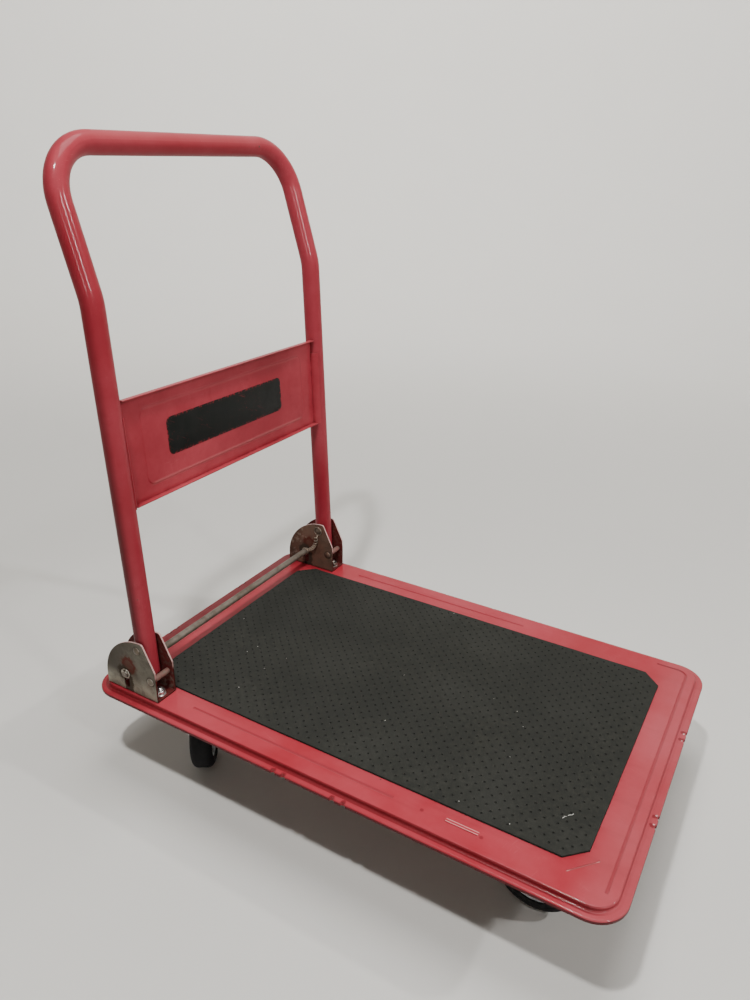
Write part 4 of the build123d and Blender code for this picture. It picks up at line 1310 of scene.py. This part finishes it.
class TRUCK_OT_paint_deck(Builder, bpy.types.Operator):
    """Enamel the deck and the channels under it, with their weld seams"""

    bl_idname = "truck.paint_deck"
    bl_label = "Deck"

    def build(self, _scene):
        paint("deck_pan", "Deck Enamel")
        for node in ("caster_rail_front", "caster_rail_rear", "deck_spine"):
            paint(node, "Channel Enamel")
            soften(node, 1.2 * MM)
        self.weld()

    def weld(self):
        """Short weld seams in the corner between each channel and the deck's underside."""
        rng = random.Random(7)
        seams = Shape()
        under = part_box("caster_rail_front")[1].z
        crosswise, lengthwise = Vector((0, 1, 0)), Vector((1, 0, 0))
        for node in ("caster_rail_front", "caster_rail_rear"):
            low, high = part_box(node)
            for x in (low.x, high.x):
                for y in (-150.0 * MM, -50.0 * MM, 50.0 * MM, 150.0 * MM):
                    meets_spine = abs(x) < 250.0 * MM and abs(y) < 60.0 * MM
                    if not meets_spine:
                        self.seam(seams, rng, Vector((x, y, under)), crosswise)
        low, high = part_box("deck_spine")
        for y in (low.y, high.y):
            for x in (-120.0 * MM, 0.0, 120.0 * MM):
                self.seam(seams, rng, Vector((x, y, under)), lengthwise)
        seams.piece("channel_welds", "Channel Enamel", "chassis", "red_paint")

    def seam(self, seams, rng, centre, along):
        """One seam: overlapping beads in a row, sunk a little into the corner."""
        beads, spacing, sunk = 9, 2.6 * MM, Vector((0, 0, 1.4 * MM))
        for bead in range(beads):
            place = centre + along * (bead - beads // 2) * spacing
            size = rng.uniform(1.9, 2.5) * MM
            turns = (-pi / 2.2, -pi / 4, 0, pi / 4, pi / 2.2)
            profile = [(size * cos(a), size * sin(a)) for a in turns]
            seams.add(turned(profile, 10), placed(place - sunk, along))


class TRUCK_OT_lay_mat(Builder, bpy.types.Operator):
    """Mould the rubber mat with its staggered dimples and cut corners"""

    bl_idname = "truck.lay_mat"
    bl_label = "Mat"

    def build(self, scene):
        look = scene.truck_mat
        low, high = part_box("deck_mat")
        outline = self.edge_line(low, high, look.corner_cut)
        rings = self.dimple_rings(look, low, high)
        sheet = Shape()
        sheet.add(self.pierced_top(inset(outline, look.edge), rings, high.z))
        for ring in rings:
            sheet.add(self.dimple(look, ring, high.z))
        self.rim(sheet, outline, low.z, high.z, look.edge)
        sheet.piece(
            "mat_rubber_sheet", "Mat Rubber", "chassis", "mat_rubber", ["deck_mat"], smooth=30.0
        )
        self.strew_flecks(high.z)

    def pierced_top(self, edge_line, rings, top):
        """The mat's flat top, with a hole for each dimple."""
        flat = [Vector(p) for p in edge_line] + [Vector(p) for ring in rings for p in ring]
        faces = [list(range(len(edge_line)))]
        start = len(edge_line)
        for ring in rings:
            faces.append([start + i for i in range(len(ring))])
            start += len(ring)
        edges = [(face[i - 1], face[i]) for face in faces for i in range(len(face))]
        verts, _, tris, _, _, origin = delaunay_2d_cdt(flat, edges, faces, 1, 1e-7)
        rubber = [list(t) for t, from_faces in zip(tris, origin) if list(from_faces) == [0]]
        return [(v.x, v.y, top) for v in verts], rubber

    def dimple(self, look, ring, top):
        """One dimple below its rim: a bowl that is open on top."""
        centre = sum((Vector(p) for p in ring), Vector((0, 0))) / len(ring)
        bowl = []
        for wide, down in ((1.0, 0.0), (0.80, 0.45), (0.42, 1.0)):
            z = top - look.depth * down
            bowl.append([(*(centre + (Vector(p) - centre) * wide), z) for p in ring])
        verts, faces = stacked(bowl)
        faces.pop(-2)
        return verts, [list(reversed(face)) for face in faces]

    def strew_flecks(self, top):
        """Chips of pale paint stuck to the mat, and one smear of them near its front corner."""
        rng = random.Random(31)
        flecks = Shape()
        spots = [(187, -78), (181, -18), (164, -175), (225, -176), (25, -100), (-281, -8),
                 (-216, -56), (-221, -74), (-175, -93), (-178, -145)]
        for x, y in spots:
            size = rng.uniform(0.45, 0.70) * MM
            line = [
                (size * rng.uniform(0.7, 1.2) * cos(a), size * rng.uniform(0.7, 1.2) * sin(a))
                for a in (0.3, 1.3, 2.4, 3.5, 4.6, 5.6)
            ]
            chip = slab(line, -0.1 * MM, 0.35 * MM, 0.1 * MM)
            flecks.add(chip, placed((x * MM, y * MM, top)))
        for smear in (
            [(271.8, -138.2), (272.8, -136.0), (273.0, -134.2), (274.8, -133.4)],
            [(276.0, -131.2), (277.4, -129.3), (279.4, -128.2), (280.4, -125.6)],
        ):
            line = [Vector((x * MM, y * MM, top + 0.1 * MM)) for x, y in smear]
            flecks.add(swept(line, 0.36 * MM, 6))
        flecks.piece("mat_flecks", "Paint Flecks", "chassis", "mat_rubber")

    def edge_line(self, low, high, cut):
        """The mat's outline, cut a little unevenly by hand."""
        step, unevenness = 12.0 * MM, 0.8
        corners = [
            (low.x + cut, low.y), (high.x - cut, low.y), (high.x, low.y + cut),
            (high.x, high.y - cut), (high.x - cut, high.y), (low.x + cut, high.y),
            (low.x, high.y - cut), (low.x, low.y + cut),
        ]
        points = []
        for i, corner in enumerate(corners):
            a, b = Vector(corner), Vector(corners[(i + 1) % len(corners)])
            pieces = max(2, int((b - a).length / step))
            inward = Vector((-(b - a).y, (b - a).x)).normalized()
            for k in range(pieces):
                p = a.lerp(b, k / pieces)
                wander = 0.5 + 0.5 * noise.noise(Vector((p.x * 14, p.y * 14, 0.0)))
                points.append(tuple(p + inward * wander * unevenness * MM))
        return points

    def dimple_rings(self, look, low, high):
        """The rims of the dimples that lie inside the mat's edge, each of eight points."""
        rings = []
        r = look.dimple / 2
        margin = look.edge + r + 1.2 * MM
        rows = int((high.y - low.y) / look.pitch_cross) + 2
        columns = int((high.x - low.x) / look.pitch_long) + 2
        for row in range(-rows, rows):
            y = look.shift_cross + row * look.pitch_cross / 2
            for column in range(-columns, columns):
                x = look.shift_long + (column + row % 2 / 2) * look.pitch_long
                from_end, from_side = min(x - low.x, high.x - x), min(y - low.y, high.y - y)
                from_corner = from_end + from_side - look.corner_cut
                if min(from_end, from_side) < margin or from_corner < margin * 1.5:
                    continue
                turns = [pi / 8 + pi / 4 * k for k in range(8)]
                rings.append([(x + r * cos(a), y + r * sin(a)) for a in turns])
        return rings

    def rim(self, shape, outline, low, high, edge):
        """The mat's rounded edge and its underside, a hair above the deck."""
        seat = 0.05 * MM
        levels = [(0.0, low + seat), (0.0, high - edge), (edge * 0.3, high - edge * 0.3), (edge, high)]
        rings = [[(x, y, z) for x, y in inset(outline, away)] for away, z in levels]
        verts, faces = stacked(rings)
        shape.add((verts, faces[:-1]))


class TRUCK_OT_finish_handle(Builder, bpy.types.Operator):
    """Enamel the handle's tube and panel"""

    bl_idname = "truck.finish_handle"
    bl_label = "Handle"

    def build(self, _scene):
        paint("handle_frame", "Handle Enamel")
        paint("handle_panel", "Panel Enamel")


class TRUCK_OT_fix_label(Builder, bpy.types.Operator):
    """Stick the blank dark label on the panel's pressed field"""

    bl_idname = "truck.fix_label"
    bl_label = "Label"

    def build(self, scene):
        look = scene.truck_label
        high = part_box("handle_panel")[1]
        height = high.z - look.centre_drop
        panel = frame["nodes"]["handle_panel"]
        hit, spot, normal, _ = panel.ray_cast(
            Vector((high.x + 0.1, -look.side_shift, height)), Vector((-1, 0, 0))
        )
        if not hit:
            raise RuntimeError("the label found no panel behind it")
        across = Vector((0, 1, 0))
        up = normal.cross(across).normalized()
        seat = spot + normal * 0.03 * MM
        place = Matrix(
            [[across[i], up[i], normal[i], seat[i]] for i in range(3)] + [[0, 0, 0, 1]]
        )
        outline = rounded_outline(look.width, look.height, look.corner)
        film = Shape().add(slab(outline, 0.0, look.film, 0.05 * MM), place)
        film.piece("label_film", "Label Film", "handle", "red_paint")


class TRUCK_OT_finish_brackets(Builder, bpy.types.Operator):
    """Plate the hinge brackets and bolt them down"""

    bl_idname = "truck.finish_brackets"
    bl_label = "Hinge Brackets"

    def build(self, scene):
        look = scene.truck_steel
        for side, sign in SIDES.items():
            node = f"hinge_bracket_{side}"
            paint(node, f"Bracket Plating {side.title()}")
            soften(node, 0.45 * MM)
            low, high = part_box(node)
            floor = low.z + look.sheet
            y = (low.y + high.y) / 2 + sign * 1.5 * MM
            lift = Vector((0, 0, look.bolt_washer))
            bolts = Shape()
            for x, turn in ((high.x - 11.0 * MM, 0.2 + sign * 0.3), (low.x + 12.0 * MM, 0.7)):
                base = Vector((x, y, floor))
                head = hexagon(look.bolt_flats, look.bolt_height)
                end = stud(look.bolt_shank / 2, look.bolt_washer + look.bolt_height, look.bolt_end)
                bolts.add(washer(look.bolt_flats * 0.62, look.bolt_washer), placed(base))
                bolts.add(head, placed(base + lift, ahead=turn))
                bolts.add(end, placed(base))
            bolts.piece(f"bracket_bolts_{side}", "Bright Zinc", "chassis", "zinc_steel")


class TRUCK_OT_set_rivets(Builder, bpy.types.Operator):
    """Set the pivot and stop rivets with their domed heads"""

    bl_idname = "truck.set_rivets"
    bl_label = "Rivets"

    def build(self, scene):
        look = scene.truck_steel
        for side in SIDES:
            self.rivet(look, "pivot_pin", side, 0.36)
            centre, shank, ear = self.rivet(look, "stop_pin", side, 0.34)
            self.spray_shank(side, centre, shank, ear - look.sheet)

    def rivet(self, look, kind, side, shank_share):
        """A rivet across the bracket, its shank a share of its head's width.

        Gives back its middle, its shank's radius and how far out its heads sit.
        """
        node = f"{kind}_{side}"
        low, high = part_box(node)
        centre, head, half = (low + high) / 2, (high.z - low.z) / 2, (high.y - low.y) / 2
        shank, ear, tip = shank_share * 2 * head, half - look.rivet_head, 0.5 * MM
        dome = [
            (head * sin(a), -ear - (half - ear) * cos(a)) for a in (0.35, 0.7, 1.0, 1.25)
        ]
        profile = [(tip, -half), *dome, (head, -ear), (shank, -ear), (shank, ear), (head, ear)]
        profile += [(r, -z) for r, z in reversed(dome)] + [(tip, half)]
        finish = "Rivet Tarnish" if node == "pivot_pin_right" else f"Rivet Plating {side.title()}"
        Shape().add(turned(profile, 36), placed(centre, (0, 1, 0))).piece(
            f"{kind}_rivet_{side}", finish, "chassis", "bracket_steel", [node]
        )
        return centre, shank, ear

    def spray_shank(self, side, centre, shank, reach):
        """The uneven coat of enamel that the stop pin caught between the ears."""
        rings = []
        steps, levels = 24, 22
        for level in range(levels + 1):
            y = -reach + 2 * reach * level / levels
            ends = min(1.0, (reach - abs(y)) / (1.2 * MM))
            ring = []
            for i in range(steps):
                a = 2 * pi * i / steps
                lump = noise.noise(Vector((cos(a) * 1.3, sin(a) * 1.3, y * 260.0 + centre.y)))
                r = shank + (0.10 + 0.16 * ends + 0.10 * lump * ends) * MM
                ring.append((r * cos(a), r * sin(a), y))
            rings.append(ring)
        Shape().add(stacked(rings), placed(centre, (0, 1, 0))).piece(
            f"stop_pin_coat_{side}", "Sprayed Pin", "chassis", "red_paint"
        )


class TRUCK_OT_fit_release_bar(Builder, bpy.types.Operator):
    """Finish the release bar and press the retaining washers onto its ends"""

    bl_idname = "truck.fit_release_bar"
    bl_label = "Release Bar"

    def build(self, _scene):
        paint("release_bar", "Galvanised Bar")
        centre = middle("release_bar")
        # Radius and height of each profile's points, in millimetres: a dished washer and its collar.
        dish = [(4.05, 0.3), (7.3, 0.3), (7.7, 0.9), (7.3, 1.6), (6.5, 1.9), (5.6, 1.5), (4.8, 0.9),
                (4.05, 0.8)]
        collar = [(4.05, 1.5), (4.5, 1.5), (4.7, 2.0), (4.5, 2.6), (4.05, 2.6)]
        for side, sign in SIDES.items():
            low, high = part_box(f"hinge_bracket_{side}")
            outer = max(abs(low.y), abs(high.y))
            place = placed((centre.x, sign * outer, centre.z), (0, sign, 0))
            ring = Shape()
            for profile in (dish, collar):
                ring.add(turned([(r * MM, z * MM) for r, z in profile], 40, True), place)
            ring.piece(f"bar_end_ring_{side}", "Bar End Ring", "chassis", "bar_steel")


class TRUCK_OT_wind_springs(Builder, bpy.types.Operator):
    """Wind the slack coil springs between pivot rivets and release bar"""

    bl_idname = "truck.wind_springs"
    bl_label = "Springs"

    def build(self, scene):
        look = scene.truck_spring
        bar_low, bar_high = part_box("release_bar")
        bar, bar_radius = (bar_low + bar_high) / 2, (bar_high.z - bar_low.z) / 2
        hold = bar_radius + look.wire * 0.6
        for side, sign in SIDES.items():
            low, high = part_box(f"hinge_bracket_{side}")
            ear = min(abs(low.y), abs(high.y))
            pin_low, pin_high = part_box(f"pivot_pin_{side}")
            pin, head = (pin_low + pin_high) / 2, (pin_high.z - pin_low.z) / 2
            y = sign * (ear - look.gap - look.coil / 2)
            top = Vector((pin.x - 1.5 * MM, y, pin.z - head - 2.2 * MM))
            foot = self.round_bar(bar, hold + 0.6 * MM, look.eye_start, y)
            path = self.coil_path(look, top, foot, look.coil / 2 - look.wire / 2, sign)
            hook_y = sign * (ear - look.gap - look.wire / 2)
            hook = self.hook(pin, head + look.wire, hook_y)
            eye = self.eye(bar, hold, look.eye_start, y, sign)
            Shape().add(swept(hook + path + eye, look.wire / 2, 8)).piece(
                f"latch_coil_{side}", "Spring Wire", "chassis", "zinc_steel",
                [f"latch_spring_{side}"], smooth=60,
            )

    def round_bar(self, bar, radius, turn, y):
        """A point beside the bar, at an angle turned up from the front."""
        return Vector((bar.x + radius * cos(turn), y, bar.z + radius * sin(turn)))

    def hook(self, pin, loop, y):
        """The wire's open hook round the pivot rivet's head."""
        turns = [pi * (-0.85 + 1.83 * k / 26) for k in range(27)]
        return [Vector((pin.x + loop * sin(a), y, pin.z + loop * cos(a))) for a in turns]

    def eye(self, bar, hold, start, y, sign):
        """The wire's last turns round the bar, drawn out a little along it."""
        steps, turns, advance = 32, 1.35, 2.6 * MM
        points = []
        for k in range(steps + 1):
            along = (k / steps - 0.4) * advance * -sign
            points.append(self.round_bar(bar, hold, start - 2 * pi * turns * k / steps, y + along))
        return points

    def coil_path(self, look, top, foot, radius, sign):
        """Points of the coil along its slack arc, narrowed at both ends."""
        chord = foot - top
        front = Vector((-chord.z, 0, chord.x)).normalized()
        bow = (top + foot) / 2 + front * look.sag + chord.normalized() * look.droop

        def spot(t):
            """A point of the arc through top, bow and foot."""
            return top * (1 - t) * (1 - 2 * t) + bow * 4 * t * (1 - t) + foot * t * (2 * t - 1)

        total = sum((spot((k + 1) / 40) - spot(k / 40)).length for k in range(40))
        turns = int(total / look.pitch)
        steps = turns * 14
        across = Vector((0, 1, 0))
        points = []
        for k in range(steps + 1):
            t = k / steps
            ahead = (top * (4 * t - 3) + bow * (4 - 8 * t) + foot * (4 * t - 1)).normalized()
            side = ahead.cross(across).normalized()
            narrow = radius * (1.0 - 0.45 * max(0.0, abs(2 * t - 1) - 0.84) / 0.16)
            a = 2 * pi * turns * t * sign
            points.append(spot(t) + narrow * (across * cos(a) + side * sin(a)))
        return points


class TRUCK_OT_build_casters(Builder, bpy.types.Operator):
    """Plate the casters and bolt their top plates on"""

    bl_idname = "truck.build_casters"
    bl_label = "Casters"

    def build(self, scene):
        look = scene.truck_casters
        for side in SIDES:
            for node in (f"fixed_fork_{side}", f"swivel_fork_{side}", f"swivel_plate_{side}"):
                paint(node, "Caster Plating")
                soften(node, 0.5 * MM)
            for end, node in (("front", f"fixed_fork_{side}"), ("rear", f"swivel_plate_{side}")):
                self.bolt_plate(look, end, side, node)

    def bolt_plate(self, look, end, side, node):
        """Four nuts with their bolt ends under a plate."""
        low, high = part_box(node)
        centre, under = (low + high) / 2, high.z - PLATE_SHEET
        half_long, half_cross = look.bolts_lengthwise / 2, look.bolts_crosswise / 2
        down, thick, nut, end_reach = (0, 0, -1), 1.0 * MM, 4.6 * MM, 8.4 * MM
        nuts = Shape()
        for k, (dx, dy) in enumerate(((1, 1), (1, -1), (-1, 1), (-1, -1))):
            base = Vector((centre.x + dx * half_long, centre.y + dy * half_cross, under))
            below = base - Vector((0, 0, thick))
            nuts.add(washer(look.bolt_flats * 0.72, thick), placed(base, down))
            nuts.add(hexagon(look.bolt_flats, nut, 4), placed(below, down, 0.4 * k))
            nuts.add(stud(2.9 * MM, thick + nut, end_reach, 1.0 * MM), placed(base, down))
        nuts.piece(f"plate_nuts_{end}_{side}", "Bright Zinc", "chassis", "zinc_steel")


class TRUCK_OT_build_wheels(Builder, bpy.types.Operator):
    """Mould the tyres and wheel centres, and fit the axle bolts"""

    bl_idname = "truck.build_wheels"
    bl_label = "Wheels"

    def build(self, scene):
        look = scene.truck_casters
        joints = {j["child"]: j for j in frame["joints"]}
        for wheel in WHEELS:
            joint = joints[f"wheel_{wheel}"]
            axis = Vector(joint["axis"])
            place = placed(joint["pos_m"], axis)
            self.tyre(look, wheel, place)
            self.hub(look, wheel, place)
            self.axle(look, wheel, place)

    def tyre(self, look, wheel, place):
        """Tyre with a rounded tread, a parting line and stepped side walls."""
        low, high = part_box(f"tyre_{wheel}")
        radius, half, bulge = (high.z - low.z) / 2, look.tyre_width / 2, look.shoulder
        inner = radius - look.tyre_height
        side = [
            (inner, half - 0.6 * MM), (inner + 1.2 * MM, half), (inner + 3.2 * MM, half),
            (inner + 3.6 * MM, half - 0.5 * MM), (inner + 4.6 * MM, half - 0.5 * MM),
            (inner + 5.0 * MM, half),
        ]
        for a in (0, 15, 30, 45, 60, 75, 88):
            out, aside = bulge * sin(radians(a)), bulge * cos(radians(a))
            side.append((radius - bulge + out, half - bulge + aside))
        side += [(radius - 0.05 * MM, 4.0 * MM), (radius, 0.55 * MM)]
        line = [(radius, 0.5 * MM), (radius - 0.35 * MM, 0.0)]
        profile = side + line + [(r, -z) for r, z in reversed(side + line[:1])]
        Shape().add(turned(profile, 96, True), place).piece(
            f"tyre_moulded_{wheel}", "Tyre Rubber", f"wheel_{wheel}", "tyre_rubber",
            [f"tyre_{wheel}"],
        )

    def hub(self, look, wheel, place):
        """Wheel centre with rim, web, boss and ribs."""
        rim, inner, web = look.rim, look.rim_inner, look.web
        bore, boss, half = look.bore, look.boss, look.boss_reach
        side = [
            (bore, half - 1.0 * MM), (bore + 0.9 * MM, half), (boss - 1.2 * MM, half),
            (boss, half - 1.2 * MM), (boss + 0.6 * MM, web + 1.5 * MM), (boss + 2.2 * MM, web),
            (inner - 1.6 * MM, web), (inner - 0.3 * MM, web + 1.2 * MM), (inner, 11.3 * MM),
            (inner + 0.9 * MM, 12.3 * MM), (rim - 0.9 * MM, 12.4 * MM), (rim - 0.05 * MM, 11.6 * MM),
        ]
        centre = Shape()
        centre.add(turned(side + [(r, -z) for r, z in reversed(side)], 72, True), place)
        for k in range(look.ribs):
            turn = Matrix.Rotation(2 * pi * (k + 0.5) / look.ribs, 4, "Z")
            for up in (1, -1):
                centre.add(self.rib(look, up), place @ turn)
        centre.piece(
            f"hub_moulded_{wheel}", "Wheel Plastic", f"wheel_{wheel}", "hub_plastic", [f"hub_{wheel}"]
        )

    def rib(self, look, up):
        """One rib from the boss to the rim, tapered outward and upward."""
        start, end, foot = look.boss - 0.4 * MM, look.rim_inner + 0.4 * MM, up * look.web * 0.8
        rings = []
        for x, wide, tall in ((start, 1.5, 15.2), (end, 1.2, 10.4)):
            top, narrow = up * tall * MM, (wide - 0.5) * MM
            rings.append(
                [(x, -wide * MM, foot), (x, wide * MM, foot), (x, narrow, top), (x, -narrow, top)]
            )
        verts, faces = stacked(rings)
        if up > 0:
            faces = [list(reversed(face)) for face in faces]
        return verts, faces

    def axle(self, look, wheel, place):
        """Axle bolt: a hexagonal head on one side, a nut and a thread on the other."""
        node = f"axle_{wheel}"
        end, side = wheel.split("_")
        body = "chassis" if end == "front" else f"swivel_{side}"
        cheek, thick = look.cheek_reach, 0.6 * MM
        bolt = Shape()
        bolt.add(turned([(look.axle, -cheek), (look.axle, cheek)], 24), place)
        ends = (
            (place @ placed((0, 0, cheek)), 4.2 * MM),
            (place @ placed((0, 0, -cheek), (0, 0, -1)), 3.4 * MM),
        )
        for cheek_face, height in ends:
            bolt.add(washer(6.4 * MM, thick), cheek_face)
            bolt.add(hexagon(look.axle_flats, height), cheek_face @ placed((0, 0, thick)))
        nut_face = ends[1][0]
        bolt.add(stud(3.9 * MM, 3.9 * MM, 4.95 * MM, 0.4 * MM), nut_face)
        bolt.piece(f"axle_bolt_{wheel}", "Bright Zinc", body, "zinc_steel", [node])


class TRUCK_PT_builder(bpy.types.Panel):
    """Lists the steps that build the truck"""

    bl_idname = "TRUCK_PT_builder"
    bl_label = "Platform Truck"
    bl_space_type = "VIEW_3D"
    bl_region_type = "UI"
    bl_category = "Truck"

    def draw(self, context):
        """Show every setting, then a button for each step."""
        for name in SETTINGS:
            box = self.layout.box()
            settings = getattr(context.scene, name)
            for key in settings.bl_rna.properties.keys():
                if key not in ("rna_type", "name"):
                    box.prop(settings, key)
        for step in STEPS:
            self.layout.operator(step.bl_idname)


STEPS = (
    TRUCK_OT_stage,
    TRUCK_OT_mix_finishes,
    TRUCK_OT_paint_deck,
    TRUCK_OT_lay_mat,
    TRUCK_OT_finish_handle,
    TRUCK_OT_fix_label,
    TRUCK_OT_finish_brackets,
    TRUCK_OT_set_rivets,
    TRUCK_OT_fit_release_bar,
    TRUCK_OT_wind_springs,
    TRUCK_OT_build_casters,
    TRUCK_OT_build_wheels,
)


def register():
    """Tell Blender of the settings, the steps and the panel."""
    for kind in (*SETTINGS.values(), *STEPS, TRUCK_PT_builder):
        bpy.utils.register_class(kind)
    for name, kind in SETTINGS.items():
        setattr(bpy.types.Scene, name, PointerProperty(type=kind))


def unregister():
    """Undo register."""
    for name in SETTINGS:
        delattr(bpy.types.Scene, name)
    for kind in reversed((*SETTINGS.values(), *STEPS, TRUCK_PT_builder)):
        bpy.utils.unregister_class(kind)


def main():
    """Run every step in order."""
    register()
    for step in STEPS:
        category, name = step.bl_idname.split(".")
        getattr(getattr(bpy.ops, category), name)()


if __name__ == "__main__":
    main()
